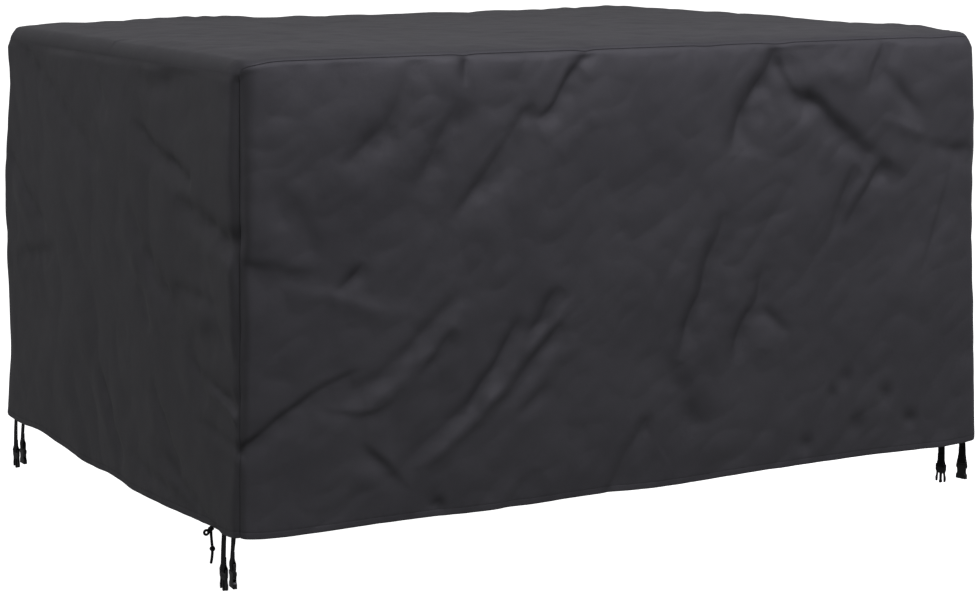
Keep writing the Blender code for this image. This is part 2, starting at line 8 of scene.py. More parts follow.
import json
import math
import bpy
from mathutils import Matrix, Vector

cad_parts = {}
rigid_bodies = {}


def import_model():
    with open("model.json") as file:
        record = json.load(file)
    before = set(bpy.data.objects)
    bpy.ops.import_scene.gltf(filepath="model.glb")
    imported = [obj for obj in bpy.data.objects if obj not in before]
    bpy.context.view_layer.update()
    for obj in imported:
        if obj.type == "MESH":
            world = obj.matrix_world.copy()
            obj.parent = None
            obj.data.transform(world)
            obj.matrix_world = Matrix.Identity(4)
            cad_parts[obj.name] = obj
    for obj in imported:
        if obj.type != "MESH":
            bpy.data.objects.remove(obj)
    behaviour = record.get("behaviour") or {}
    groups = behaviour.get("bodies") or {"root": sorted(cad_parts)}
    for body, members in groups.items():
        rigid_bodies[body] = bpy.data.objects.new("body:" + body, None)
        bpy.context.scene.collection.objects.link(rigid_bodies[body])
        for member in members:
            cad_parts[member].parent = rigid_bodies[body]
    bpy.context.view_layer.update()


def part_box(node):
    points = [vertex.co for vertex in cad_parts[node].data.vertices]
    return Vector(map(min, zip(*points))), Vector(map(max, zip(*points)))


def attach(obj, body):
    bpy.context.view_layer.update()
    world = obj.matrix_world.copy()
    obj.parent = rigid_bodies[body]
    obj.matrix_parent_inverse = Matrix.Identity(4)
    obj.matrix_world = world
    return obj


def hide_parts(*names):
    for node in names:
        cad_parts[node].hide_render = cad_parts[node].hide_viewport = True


bl_info = {
    "name": "Fitted garden furniture cover",
    "version": (1, 0, 0),
    "blender": (4, 5, 0),
    "location": "3D View > Sidebar > Cover",
    "description": "Builds the cloth, straps, buckles and drawcord of a fitted cover round its frame",
    "category": "Object",
}

from collections import namedtuple

import bmesh
import bpy
import numpy as np
from bpy.props import FloatProperty, FloatVectorProperty, PointerProperty
from mathutils import Matrix, Vector, noise

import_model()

# Sizes and colours that a user would change ------------------------------------


def number(name, description, default, unit="NONE"):
    return FloatProperty(name=name, description=description, default=default, unit=unit, precision=4)


def length(name, description, default):
    return number(name, description, default, "LENGTH")


def colour(name, description, default):
    shown = {"size": 3, "subtype": "COLOR", "min": 0.0, "max": 1.0}
    return FloatVectorProperty(name=name, description=description, default=default, **shown)


class CoverSizes(bpy.types.PropertyGroup):
    width: length("Width", "Front and back, at half height", 1.78)
    depth: length("Depth", "Left and right sides, at half height", 1.30)
    height: length("Height", "From the top edge down to the hem", 0.90)
    flare: length("Flare", "How far a side stands in at the top edge and out at the hem", 0.010)
    top_corner: length("Top corner", "Plan radius of the upright corners at the top edge", 0.045)
    hem_corner: length("Hem corner", "Plan radius of the upright corners at the hem", 0.018)
    edge: length("Top edge", "Height of the top edge, when the middle's underside is at zero", -0.0105)
    crown: length("Crown", "How far the top stands above its edge", 0.012)
    crown_reach: length("Crown reach", "How fast the top rises from its edge", 0.06)
    cloth: length("Cloth", "Thickness of the coated cloth", 0.0012)
    hem: length("Hem thickness", "Thickness of the turned-up hem with its casing", 0.0048)
    casing: length("Casing", "Height of the casing's stitches above the hem", 0.0135)
    corner_lip: length("Corner lip", "Radius of the cloth's edge as it turns in at an upright seam", 0.0012)
    allowance: length("Seam allowance", "Depth of cloth that is turned in at a seam", 0.0040)
    webbing: length("Webbing", "Width of the straps", 0.0185)
    webbing_thick: length("Webbing thickness", "Thickness of the straps", 0.0014)
    cord: length("Drawcord", "Diameter of the drawcord", 0.0055)


class CoverColours(bpy.types.PropertyGroup):
    cloth: colour("Cloth", "Coated cloth", (0.0352, 0.0352, 0.0388))
    cloth_worn: colour("Cloth, worn", "Coated cloth where it is rubbed", (0.0476, 0.0476, 0.0512))
    webbing: colour("Webbing", "Straps", (0.0070, 0.0070, 0.0074))
    plastic: colour("Plastic", "Buckles", (0.0060, 0.0060, 0.0064))
    cord: colour("Drawcord", "Braided cord", (0.0050, 0.0050, 0.0053))


class StageSettings(bpy.types.PropertyGroup):
    floor: length("Floor", "Height of the floor", -1.35)
    zenith: number("Zenith", "Strength of the sky overhead", 0.514)
    horizon: number("Horizon", "Strength of the sky at the horizon and below", 0.219)
    front: number("Front", "Power of the light high in front", 84.0, "POWER")
    right: number("Right", "Power of the light at the front right", 20.3, "POWER")
    left: number("Left", "Power of the light at the left", 11.4, "POWER")
    lens: number("Lens", "Focal length in millimetres", 90.3)


def sizes():
    return bpy.context.scene.cover_sizes


def colours():
    return bpy.context.scene.cover_colours


def new_object(name, data):
    obj = bpy.data.objects.new(name, data)
    bpy.context.scene.collection.objects.link(obj)
    return obj


def mesh_of(shape, name):
    """A mesh from a bmesh, which is freed."""
    mesh = bpy.data.meshes.new(name)
    shape.to_mesh(mesh)
    shape.free()
    return mesh


def plain_mesh(obj):
    """The mesh that an object's curve or modifiers come to. The object is removed."""
    mesh = bpy.data.meshes.new_from_object(obj.evaluated_get(bpy.context.evaluated_depsgraph_get()))
    bpy.data.objects.remove(obj)
    return mesh


# The plain shape ---------------------------------------------------------------

OUTWARD = {"front": (0, -1), "left": (-1, 0), "back": (0, 1), "right": (1, 0)}
RIGHT_HAND = {"front": 1, "left": -1, "back": -1, "right": 1, "top": 1}  # along +X or +Y, or against it
Side = namedtuple("Side", "outward along half_length half_across")

# The top edge's round, where on it the seam lies, and the radius of the cloth's edge as it turns in there
Roll = namedtuple("Roll", "radius seam_angle lip")
LONG_ROLL = Roll(0.014, math.radians(50), 0.0015)
LEFT_ROLL = Roll(0.030, math.radians(85), 0.0002)
RIGHT_ROLL = Roll(0.024, math.radians(68), 0.0008)
ROLL_BLEND = (0.810, 0.8665)  # distances along X between which a long side's roll becomes a short side's
SEAM_GAP = 0.2  # gap between two panels along a seam, as a share of their lips
UP = np.array((0.0, 0.0, 1.0))

# Where the hem hangs a little lower, or higher where `lower` is below zero
HemWave = namedtuple("HemWave", "panel at half_length lower")
HEM_WAVES = (
    HemWave("front", -0.81, 0.08, 0.0020),
    HemWave("front", -0.40, 0.07, 0.0025),
    HemWave("front", -0.28, 0.10, 0.0030),
    HemWave("front", 0.10, 0.45, 0.0040),
    HemWave("front", 0.08, 0.12, 0.0035),
    HemWave("front", 0.74, 0.16, 0.0050),
    HemWave("front", 0.88, 0.10, 0.0055),
    HemWave("left", -0.50, 0.06, -0.0025),
    HemWave("left", -0.25, 0.20, 0.0055),
    HemWave("left", -0.13, 0.06, 0.0035),
    HemWave("left", 0.11, 0.09, 0.0060),
    HemWave("left", 0.41, 0.10, -0.0100),
    HemWave("back", -0.30, 0.25, 0.0040),
    HemWave("back", 0.45, 0.20, -0.0030),
    HemWave("right", 0.10, 0.25, 0.0040),
)
HEM_CORNER_LIFT = 0.008
HEM_CORNER_REACH = 0.05
HEM_ROUNDS = {(-1, -1): 0.001, (1, -1): 0.014, (-1, 1): 0.028, (1, 1): 0.024}  # at (side of X, side of Y)


def side_of(panel):
    """The way a side faces, the way along it, and its sizes."""
    outward = np.array((*OUTWARD[panel], 0.0))
    along = np.abs(outward[[1, 0, 2]])
    halves = (sizes().width / 2, sizes().depth / 2)
    if along[1]:
        halves = halves[::-1]
    return Side(outward, along, *halves)


def bell(distance, half_width):
    """From 1 at no distance down to 0 far away, whichever side."""
    return np.exp(-((distance / half_width) ** 2))


def smooth(low, high, value):
    """From 0 at low to 1 at high, level at both."""
    share = np.clip((value - low) / (high - low), 0.0, 1.0)
    return share * share * (3 - 2 * share)


def corner_radius(share):
    """Plan radius of the upright corners at a share of the height, from the top down."""
    return sizes().top_corner + (sizes().hem_corner - sizes().top_corner) * share


def side_plan(panel, fraction, angle, down):
    """The outline at a level below the top edge, and the way the cloth faces there."""
    side = side_of(panel)
    share = down / sizes().height
    radius = corner_radius(share)
    lean = sizes().flare * (2 * share - 1)
    along = fraction * (side.half_length + lean - radius) + radius * np.sin(angle)
    out = side.half_across + lean - radius + radius * np.cos(angle)
    facing = np.sin(angle)[:, None] * side.along + np.cos(angle)[:, None] * side.outward
    return along[:, None] * side.along + out[:, None] * side.outward, facing


def roll_at(x):
    """The top edge's round at this X: its radius, the angle at which the seam lies on it, and its lip."""
    start, stop = ROLL_BLEND
    blend = 1 - np.sqrt(1 - np.clip((np.abs(x) - start) / (stop - start), 0, 1) ** 2)
    ends = [np.where(x < 0, left, right) for left, right in zip(LEFT_ROLL, RIGHT_ROLL)]
    return Roll(*(middle + (end - middle) * blend for middle, end in zip(LONG_ROLL, ends)))


def crown(place):
    """How far the top stands above its edge: it rises quickly at first and is nearly flat in the middle."""
    half = (sizes().width / 2 - sizes().flare, sizes().depth / 2 - sizes().flare)
    inset = [np.maximum(0.0, half[i] - np.abs(place[..., i])) for i in (0, 1)]
    rise = [1 - np.exp(-distance / sizes().crown_reach) for distance in inset]
    return sizes().crown * rise[0] * rise[1]


def hem_down(panel, along):
    """How far below the top edge the hem hangs."""
    down = np.full_like(along, sizes().height)
    for wave in HEM_WAVES:
        if wave.panel == panel:
            down += wave.lower * bell(along - wave.at, wave.half_length)
    side = side_of(panel)
    from_corner = np.maximum(0.0, side.half_length + sizes().flare - np.abs(along))
    ends = [HEM_ROUNDS[tuple((side.outward + end * side.along)[:2])] for end in (-1, 1)]
    reach = np.where(along < 0, *ends)
    rounded = reach * np.clip(1 - from_corner / reach, 0, 1) ** 2
    return down - HEM_CORNER_LIFT * np.exp(-from_corner / HEM_CORNER_REACH) - rounded


# Creases -----------------------------------------------------------------------

# Each crease is a soft trough pressed in along a path, or a ridge where its depth is below zero. `upper`
# and `lower` are its half widths on its upper and lower sides. `ridge` is the height, as a share of the
# depth, of the ridge that stands beside it on its lower side. `dark` is the strength of the painted shade
# along it, which darkens the cloth's colour and shine as if shade lay in the crease. A path's points are
# (place along the panel, distance below the top edge, strength), or (X, Y, strength) on the top. It runs
# from right to left, seen from outside. Lengths here are in millimetres.
Crease = namedtuple("Crease", "depth upper lower ridge dark path")
FRONT_CREASES = (
    # the long tuck at the lower left, and the S of cloth above it
    Crease(7, 10, 36, 0.2, 0.4, ((-620, 588, 0), (-700, 612, 0.5), (-790, 655, 0.8), (-900, 728, 1))),
    Crease(5.5, 15, 19, 1.1, 0.08, (
        (-430, 450, 0), (-472, 495, 0.8), (-543, 558, 1), (-620, 613, 0.7), (-740, 665, 0),
    )),
    Crease(4, 13, 16, 0.2, 0.2, ((-440, 530, 0), (-462, 555, 1), (-490, 590, 0.9), (-520, 620, 0))),
    Crease(3, 8, 22, 0, 0.15, ((-560, 660, 0), (-620, 679, 0.8), (-690, 672, 0.6), (-735, 660, 0))),
    Crease(4, 14, 18, 0, 0.42, ((-632, 385, 0), (-650, 405, 1), (-684, 432, 0.4), (-700, 440, 0))),
    Crease(3.8, 14, 40, 0.3, 0.06, ((-700, 410, 0), (-770, 395, 0.7), (-830, 382, 1), (-900, 365, 1))),
    Crease(-3.5, 18, 22, 0, 0, ((-480, 500, 0), (-580, 478, 0.7), (-700, 440, 0.9), (-820, 405, 0))),
    # below the top seam, left half
    Crease(4, 30, 32, 0.4, 0, ((-700, 365, 0), (-740, 315, 1), (-775, 260, 1), (-800, 220, 0))),
    Crease(7, 22, 40, 0.2, 0.15, (
        (-522, 0, 0.25), (-536, 44, 0.5), (-564, 98, 0.9), (-595, 136, 1), (-646, 175, 0.6),
        (-690, 200, 0),
    )),
    Crease(2.5, 26, 30, 0, 0.12, ((-575, 120, 0), (-605, 150, 1), (-640, 180, 1), (-680, 215, 0))),
    Crease(4, 14, 8, 0, 0.45, ((-399, 0, 1), (-402, 20, 1.2), (-408, 45, 0.8), (-414, 65, 0))),
    Crease(7, 24, 36, 0.3, 0.2, (
        (-422, 80, 0), (-440, 115, 0.8), (-459, 145, 1), (-491, 200, 1), (-530, 265, 0),
    )),
    Crease(7, 10, 15, 0.1, 0.5, (
        (-124, 0, 0.5), (-134, 12, 0.75), (-150, 31, 0.8), (-168, 50, 0.5), (-185, 70, 0),
    )),
    Crease(8, 10, 40, 0.3, 0.35, (
        (-150, 28, 0), (-168, 50, 0.6), (-194, 81, 1.2), (-215, 112, 1), (-250, 135, 0),
    )),
    Crease(4, 13, 26, 0.2, 0.15, ((-250, 100, 0), (-272, 114, 1), (-290, 130, 0.6), (-310, 160, 0))),
    Crease(7, 18, 34, 0.3, 0.2, (
        (-290, 135, 0), (-318, 170, 0.8), (-360, 228, 1), (-400, 270, 1), (-450, 320, 0),
    )),
    # the group of slanting folds in the middle
    Crease(5.5, 14, 15, 0.6, 0.32, (
        (-285, 515, 0), (-308, 545, 0.7), (-342, 605, 1), (-372, 638, 1.2), (-402, 675, 1.1),
        (-430, 695, 0.6), (-500, 745, 0.4), (-590, 820, 0),
    )),
    Crease(5, 15, 18, 0.6, 0.25, (
        (-195, 535, 0), (-213, 556, 0.9), (-256, 601, 1), (-290, 640, 0.8), (-360, 710, 0),
    )),
    Crease(4.5, 16, 16, 0.3, 0.28, (
        (-200, 465, 0), (-213, 482, 0.8), (-234, 512, 1), (-257, 544, 1), (-290, 580, 0),
    )),
    Crease(-4, 13, 13, 0, 0, (
        (-180, 500, 0), (-205, 525, 0.8), (-255, 573, 1), (-310, 628, 0.9), (-362, 675, 0.9),
        (-410, 718, 1), (-455, 752, 1), (-530, 800, 0),
    )),
    Crease(3, 12, 16, 0.4, 0.12, ((-225, 655, 0), (-245, 672, 1), (-275, 697, 1), (-300, 720, 0))),
    Crease(3.5, 9, 22, 0.4, 0.2, ((-550, 825, 0.3), (-575, 800, 1), (-610, 765, 1), (-640, 735, 0))),
    Crease(4, 16, 18, 0, 0.45, ((-450, 875, 0), (-475, 872, 1), (-500, 880, 0))),
    Crease(3, 10, 22, 0, 0, ((-450, 790, 0), (-465, 830, 0.8), (-500, 860, 0.6), (-530, 885, 0))),
    Crease(4, 14, 29, 0, 0, ((-248, 825, 0), (-290, 865, 1), (-335, 910, 1))),
    Crease(3, 20, 32, 0, 0, ((-100, 735, 0), (-150, 760, 0.8), (-200, 800, 0.5), (-240, 830, 0))),
    Crease(5, 15, 32, 0.3, 0.15, (
        (30, 755, 0), (3, 764, 1), (-24, 800, 0.7), (-48, 835, 0.8), (-85, 910, 1),
    )),
    # below the top seam, right half
    Crease(11, 24, 56, 0, 0.4, (
        (347, 0, 0.35), (325, 29, 0.75), (302, 58, 0.95), (276, 88, 1), (252, 118, 1), (230, 158, 0.8),
        (218, 195, 0.7), (212, 228, 0),
    )),
    Crease(3.5, 9, 26, 0, 0.25, (
        (440, 125, 0), (390, 112, 0.8), (365, 85, 0.9), (349, 40, 0.6), (345, 10, 0.3),
    )),
    Crease(9, 17, 38, 0.05, 0.2, (
        (700, 305, 0), (655, 283, 0.5), (610, 256, 0.5), (574, 231, 0.8), (553, 215, 1), (507, 181, 1),
        (467, 148, 1), (424, 115, 1.1), (370, 100, 0),
    )),
    Crease(-6, 28, 32, 0, 0, ((580, 50, 0), (500, 55, 1), (400, 50, 0))),
    Crease(6, 12, 30, 0.3, 0.25, (
        (622, 250, 0), (600, 275, 1), (582, 298, 1), (532, 361, 0.8), (505, 410, 0),
    )),
    Crease(5.5, 12, 26, 0.3, 0.2, (
        (540, 262, 0), (525, 284, 1), (502, 329, 1), (482, 373, 0.7), (465, 420, 0),
    )),
    Crease(4, 16, 26, 0.2, 0.25, (
        (900, 262, 0.6), (848, 247, 1), (805, 239, 1), (766, 232, 0.5), (740, 225, 0),
    )),
    Crease(-3, 14, 14, 0, 0, ((780, 215, 0), (715, 200, 0.8), (650, 175, 1), (590, 160, 0))),
    Crease(5, 16, 26, 0.2, 0.12, (
        (735, 160, 0), (703, 141, 0.8), (667, 110, 1), (632, 77, 0.7), (610, 55, 0),
    )),
    Crease(5, 10, 24, 0.2, 0.15, (
        (615, 0, 0.3), (608, 25, 0.8), (592, 54, 1), (578, 85, 0.8), (565, 115, 0),
    )),
    Crease(2.5, 8, 22, 0.5, 0.15, ((800, 270, 0), (785, 330, 0.8), (755, 420, 1), (720, 510, 0))),
    # the long fold right of the middle, and the dents below it
    Crease(7, 18, 32, 0.5, 0.42, (
        (203, 340, 0), (184, 387, 0.7), (154, 443, 1), (140, 504, 1.1), (111, 564, 1), (97, 604, 0.8),
        (85, 645, 0),
    )),
    Crease(5, 36, 38, 0, 0.14, ((175, 810, 0), (145, 757, 1), (108, 700, 1), (82, 655, 0.8), (75, 610, 0))),
    Crease(6, 17, 30, 0.4, 0.35, (
        (300, 460, 0), (291, 495, 0.7), (280, 538, 1), (252, 578, 1), (232, 617, 0.9), (224, 665, 0),
    )),
    Crease(4, 15, 20, 0.2, 0.15, ((375, 610, 0), (350, 590, 1), (320, 560, 0.8), (300, 540, 0))),
    Crease(4, 20, 22, 0, 0.2, ((550, 722, 0), (530, 715, 1), (505, 700, 0))),
    Crease(4, 20, 22, 0, 0.18, ((510, 757, 0), (489, 750, 1), (470, 740, 0))),
    Crease(4, 22, 22, 0, 0.2, ((660, 765, 0), (634, 761, 1), (600, 755, 0))),
    Crease(4, 20, 22, 0, 0.2, ((585, 830, 0), (558, 820, 1), (530, 810, 0))),
    Crease(4, 20, 22, 0, 0.2, ((735, 825, 0), (703, 820, 1), (670, 810, 0))),
    Crease(4, 20, 22, 0, 0.15, ((450, 850, 0), (425, 843, 1), (400, 830, 0))),
)
LEFT_CREASES = (
    Crease(5.5, 18, 26, 0.4, 0.12, (
        (30, 250, 0), (66, 233, 0.7), (120, 205, 0.9), (176, 175, 0.7), (260, 130, 0.8), (351, 91, 1),
        (434, 60, 1), (530, 20, 0.6),
    )),
    Crease(4, 20, 24, 0.2, 0.1, ((-30, 150, 0), (-11, 119, 0.8), (39, 69, 1), (95, 20, 0.4))),
    Crease(5, 26, 24, 0, 0.15, ((-400, 40, 0), (-330, 50, 1), (-240, 55, 1), (-120, 45, 0))),
    Crease(6.4, 12, 26, 0.4, 0.3, (
        (-450, 228, 0), (-420, 222, 0.8), (-290, 193, 1), (-210, 165, 0.8), (-140, 140, 0),
    )),
    Crease(8.8, 18, 26, 0.4, 0.25, (
        (-655, 335, 1.1), (-600, 320, 1), (-500, 298, 1), (-420, 283, 0.7), (-360, 275, 0),
    )),
    Crease(5.5, 12, 20, 0.3, 0.22, (
        (360, 420, 0), (400, 400, 0.8), (470, 355, 1), (560, 290, 0.7), (600, 260, 0),
    )),
    Crease(6, 20, 30, 0.5, 0.15, (
        (-400, 500, 0), (-320, 465, 0.8), (-230, 405, 1), (-170, 350, 1), (-130, 300, 0),
    )),
    Crease(4.8, 18, 22, 0, 0.12, ((300, 455, 0), (400, 475, 1), (520, 495, 0.6), (560, 500, 0))),
    Crease(4, 16, 20, 0.2, 0.15, ((-240, 560, 0), (-225, 535, 1), (-200, 500, 1), (-180, 460, 0))),
    Crease(4.8, 28, 32, 0, 0.1, ((-620, 500, 0), (-550, 515, 0.8), (-470, 530, 0.8), (-400, 560, 0))),
    Crease(4.8, 14, 19, 0, 0.1, ((-600, 460, 0), (-500, 455, 0.7), (-380, 450, 1), (-330, 455, 0))),
    Crease(4.5, 16, 22, 0.3, 0.15, ((-520, 660, 0), (-502, 639, 0.8), (-468, 602, 1), (-430, 550, 0))),
    Crease(6.4, 16, 10, 0.6, 0.2, ((-655, 645, 1), (-600, 625, 0.9), (-520, 610, 0.5), (-450, 600, 0))),
    Crease(5.6, 10, 16, 0, 0.1, ((-660, 725, 1), (-620, 715, 0.6), (-550, 700, 0.6), (-420, 690, 0))),
    Crease(5, 14, 22, 0.4, 0.2, (
        (-100, 860, 0), (-85, 840, 0.8), (-32, 780, 1), (18, 717, 1), (50, 670, 0),
    )),
    Crease(5, 14, 22, 0.4, 0.2, (
        (-400, 820, 0), (-375, 800, 0.8), (-325, 745, 1), (-277, 690, 1), (-250, 650, 0),
    )),
    Crease(5.5, 16, 19, 0.4, 0.2, (
        (-560, 890, 0.8), (-510, 873, 1), (-428, 845, 1), (-310, 800, 0.7), (-250, 760, 0),
    )),
    Crease(4, 14, 18, 0.3, 0.12, (
        (-460, 890, 0.6), (-420, 880, 1), (-327, 860, 1), (-190, 835, 0.7), (-120, 810, 0),
    )),
)
BACK_CREASES = (
    Crease(7, 14, 26, 0.5, 0, ((-500, 50, 0.6), (-420, 200, 1), (-340, 360, 0.6), (-300, 440, 0))),
    Crease(8, 12, 24, 0.5, 0, ((200, 0, 1), (260, 160, 1), (340, 340, 0.7), (400, 520, 0))),
    Crease(7, 20, 14, 0.7, 0, ((-100, 860, 0.6), (-20, 700, 1), (60, 560, 1), (120, 440, 0))),
    Crease(6.5, 12, 20, 0.8, 0, ((520, 840, 0), (600, 700, 1), (680, 560, 0.8), (740, 460, 0))),
    Crease(6, 8, 22, 0.3, 0, ((-900, 700, 1), (-780, 660, 0.9), (-620, 570, 0.5), (-520, 520, 0))),
    Crease(4, 22, 20, 0.5, 0, ((-700, 300, 0), (-600, 380, 1), (-500, 500, 0))),
    Crease(5, 16, 20, 0.4, 0, ((550, 150, 0), (640, 240, 1), (760, 300, 0))),
)
RIGHT_CREASES = (
    Crease(7, 14, 22, 0.4, 0, ((-100, 420, 0), (-180, 280, 1), (-280, 120, 1), (-330, 0, 0.6))),
    Crease(7, 12, 22, 0.6, 0, ((360, 280, 0), (300, 400, 1), (220, 560, 1), (140, 720, 0))),
    Crease(6, 12, 18, 0.8, 0, ((-200, 520, 0), (-300, 620, 1), (-420, 760, 0.7), (-480, 840, 0))),
    Crease(5, 12, 20, 0.4, 0, ((600, 100, 0.6), (500, 160, 1), (400, 200, 0))),
    Crease(4, 14, 14, 0.3, 0, ((500, 800, 0), (400, 840, 1), (280, 900, 0.6))),
)
TOP_CREASES = (
    Crease(4, 50, 60, 0, 0, ((-200, 350, 0), (-360, 40, 1), (-550, -300, 0))),
    Crease(4, 50, 60, 0, 0, ((450, 250, 0), (280, -80, 1), (100, -400, 0))),
    Crease(-12, 60, 70, 0, 0, ((-280, 600, 0.5), (-380, 580, 1), (-500, 540, 0.7), (-600, 500, 0))),
    Crease(-11, 60, 70, 0, 0, ((840, 600, 0.4), (720, 590, 1), (600, 560, 0.7), (480, 450, 0))),
    Crease(-11, 40, 40, 0, 0, ((850, -550, 0.5), (840, -510, 1), (820, -450, 0.7), (780, -380, 0))),
    Crease(5, 60, 60, 0, 0, ((850, -20, 0), (840, -180, 1), (820, -320, 0))),
)
CREASES = {
    "front": FRONT_CREASES,
    "left": LEFT_CREASES,
    "back": BACK_CREASES,
    "right": RIGHT_CREASES,
    "top": TOP_CREASES,
}

# Where creases run round an upright corner at (side of X, side of Y), or where it is pushed out. In metres
# again; a dent fades to nothing over its reach.
CornerDent = namedtuple("CornerDent", "corner down half_height depth reach")
CORNER_DENTS = (
    CornerDent((-1, -1), 0.326, 0.022, 0.0040, 0.018),
    CornerDent((-1, -1), 0.500, 0.030, 0.0020, 0.018),
    CornerDent((-1, -1), 0.628, 0.016, 0.0020, 0.018),
    CornerDent((-1, -1), 0.729, 0.014, 0.0060, 0.018),
    CornerDent((1, -1), 0.130, 0.160, -0.0095, 0.070),
    CornerDent((1, -1), 0.282, 0.030, 0.0020, 0.018),
    CornerDent((1, -1), 0.300, 0.090, -0.0030, 0.060),
    CornerDent((1, -1), 0.820, 0.350, -0.0040, 0.070),
    CornerDent((-1, 1), 0.030, 0.060, -0.0060, 0.060),
    CornerDent((-1, 1), 0.350, 0.130, -0.0045, 0.060),
    CornerDent((-1, 1), 0.710, 0.110, 0.0045, 0.060),
    CornerDent((1, 1), 0.420, 0.050, 0.0050, 0.018),
)

# How far the cloth stands out below the top seam, over what distance it gets there, and how near a corner
SHOULDERS = {"front": 0.015, "back": 0.012, "left": 0.003, "right": 0.008}
SHOULDER_REACH = {"front": 0.050, "back": 0.050, "left": 0.030, "right": 0.040}
SHOULDER_END = 0.06
CORNER_FADE = 0.018  # creases fade into the corner's own dents over this length
SEAM_FADE = 0.016  # and into the top seam's own dips
TOP_FADE = 0.06  # the top's creases fade towards its seam
GUTTER = 0.0036  # how far the cloth is drawn in along an upright seam
GUTTER_REACH = 0.030
UNDERLAP = 0.0008  # how much deeper the short sides are there than the long ones
UNDERLAP_REACH = 0.012

# Where the front's top seam is drawn down by a crease
SeamDip = namedtuple("SeamDip", "at half_width depth")
FRONT_DIPS = (
    SeamDip(-0.841, 0.030, 0.0040),
    SeamDip(-0.400, 0.018, 0.0022),
    SeamDip(-0.126, 0.018, 0.0026),
    SeamDip(0.170, 0.030, 0.0018),
    SeamDip(0.345, 0.030, 0.0025),
    SeamDip(0.760, 0.040, 0.0020),
)
DIP_REACH = 0.035

# A trough's section. The upper wall is steepest near the path and the bottom lies past it, by a share of
# the narrower half width. The ridge's place and half width are in lower half widths.
BOTTOM_PAST = 0.7
RIDGE_PAST = 2
RIDGE_WIDE = 1.1
STRONGEST = 1.2  # the most that a path's strength comes to where its curve overshoots
DARK_BELOW = 0.45  # how far a crease's painted shade reaches on its lower side, in lower half widths
FALLING_DARK_BELOW = 0.005  # and where it falls from right to left, in metres

# Creases wander a little, and are deeper and shallower along their way
WANDER = 0.005
WANDER_LONG = 0.055
UNEVEN = 0.5
UNEVEN_SHORTER = 1.3


def curve_through(points, steps=6):
    """A smooth line through points, each with any number of columns."""
    points = np.array(points, float)
    padded = np.vstack((2 * points[0] - points[1], points, 2 * points[-1] - points[-2]))
    made = []
    for a, b, c, d in zip(padded, padded[1:], padded[2:], padded[3:]):
        for step in range(steps):
            t = step / steps
            bent = 2 * b + (c - a) * t + (2 * a - 5 * b + 4 * c - d) * t**2
            made.append(0.5 * (bent + (3 * b - a - 3 * c + d) * t**3))
    return np.array(made + [points[-1]])


def crease_depth(crease, across, down):
    """How far a crease presses the cloth in, and the strength of its painted shade. `across` runs right,
    seen from outside.
    """
    path = curve_through(np.array(crease.path) / (1000, 1000, 1))
    upper, lower = crease.upper / 1000, crease.lower / 1000
    reach = 3 * max(upper, lower) + 2 * lower
    near = (
        (across > path[:, 0].min() - reach)
        & (across < path[:, 0].max() + reach)
        & (down > path[:, 1].min() - reach)
        & (down < path[:, 1].max() + reach)
    )
    here = np.stack((across[near], down[near]), -1)
    closest = np.full(len(here), np.inf)
    signed, strength, falling = np.zeros(len(here)), np.zeros(len(here)), np.zeros(len(here), bool)
    for start, end in zip(path, path[1:]):
        run = end[:2] - start[:2]
        share = np.clip((here - start[:2]) @ run / (run @ run), 0, 1)
        offset = here - start[:2] - share[:, None] * run
        distance = np.hypot(*offset.T)
        nearer = distance < closest
        closest[nearer] = distance[nearer]
        signed[nearer] = (distance * np.sign(offset @ (run[1], -run[0])))[nearer]
        strength[nearer] = (start[2] + share * (end[2] - start[2]))[nearer]
        falling[nearer] = run[1] > 0
    past = signed - BOTTOM_PAST * min(upper, lower)
    pressed = bell(past, np.where(past < 0, upper, lower))
    pressed -= crease.ridge * bell(past - RIDGE_PAST * lower, RIDGE_WIDE * lower)
    strength = np.clip(strength, 0, STRONGEST)
    total, shade = np.zeros_like(across), np.zeros_like(across)
    total[near] = crease.depth / 1000 * strength * pressed
    # painted shade along the crease, which darkens the cloth's colour as if shade lay in it
    below = np.where(falling, FALLING_DARK_BELOW, DARK_BELOW * lower)
    shade[near] = crease.dark * strength * bell(signed, np.where(signed < 0, upper, below))
    return total, shade


def creases_depth(panel, along, down):
    """How far all of a panel's creases press the cloth in, and the share of its colour darkened by painted
    shade.
    """
    right = RIGHT_HAND[panel]
    total, light = np.zeros_like(along), np.ones_like(along)
    points = np.stack((along, down, np.zeros_like(along)), -1) / WANDER_LONG
    along = along + WANDER * noise_field(points, 51)
    down = down + WANDER * noise_field(points, 52)
    for crease in CREASES[panel]:
        if right < 0:
            crease = crease._replace(path=[(-place, *rest) for place, *rest in crease.path])
        depth, shade = crease_depth(crease, right * along, down)
        total += depth
        # each crease's painted shade darkens the share of colour that is left
        light *= 1 - shade
    uneven = 1 + UNEVEN * noise_field(UNEVEN_SHORTER * points, 53)
    return total * uneven, np.clip((1 - light) * uneven, 0, 1)


def noise_field(points, seed):
    """Smooth noise of about unit height at points given in wavelengths."""
    offset = Vector((17.3 * seed, 5.1 * seed, 3.7 * seed))
    flat = points.reshape(-1, 3)
    return np.array([noise.noise(Vector(point) + offset) for point in flat]).reshape(points.shape[:-1])


# Wrinkles all over the cloth: wavelengths along and across their slant, in metres, the slant in degrees,
# height in millimetres, and whether they have sharp valleys. The left side has its own.
Wrinkle = namedtuple("Wrinkle", "long short slant height sharp")
WRINKLES = (
    Wrinkle(0.26, 0.14, 50, 4.0, False),
    Wrinkle(0.16, 0.085, 58, 5.0, True),
    Wrinkle(0.085, 0.050, 40, 2.6, True),
    Wrinkle(0.045, 0.030, 75, 0.8, False),
)
LEFT_WRINKLES = (
    Wrinkle(0.34, 0.22, 140, 7.5, False),
    Wrinkle(0.20, 0.12, 130, 6.0, True),
    Wrinkle(0.11, 0.07, 150, 2.2, True),
    Wrinkle(0.06, 0.04, 120, 0.5, False),
)


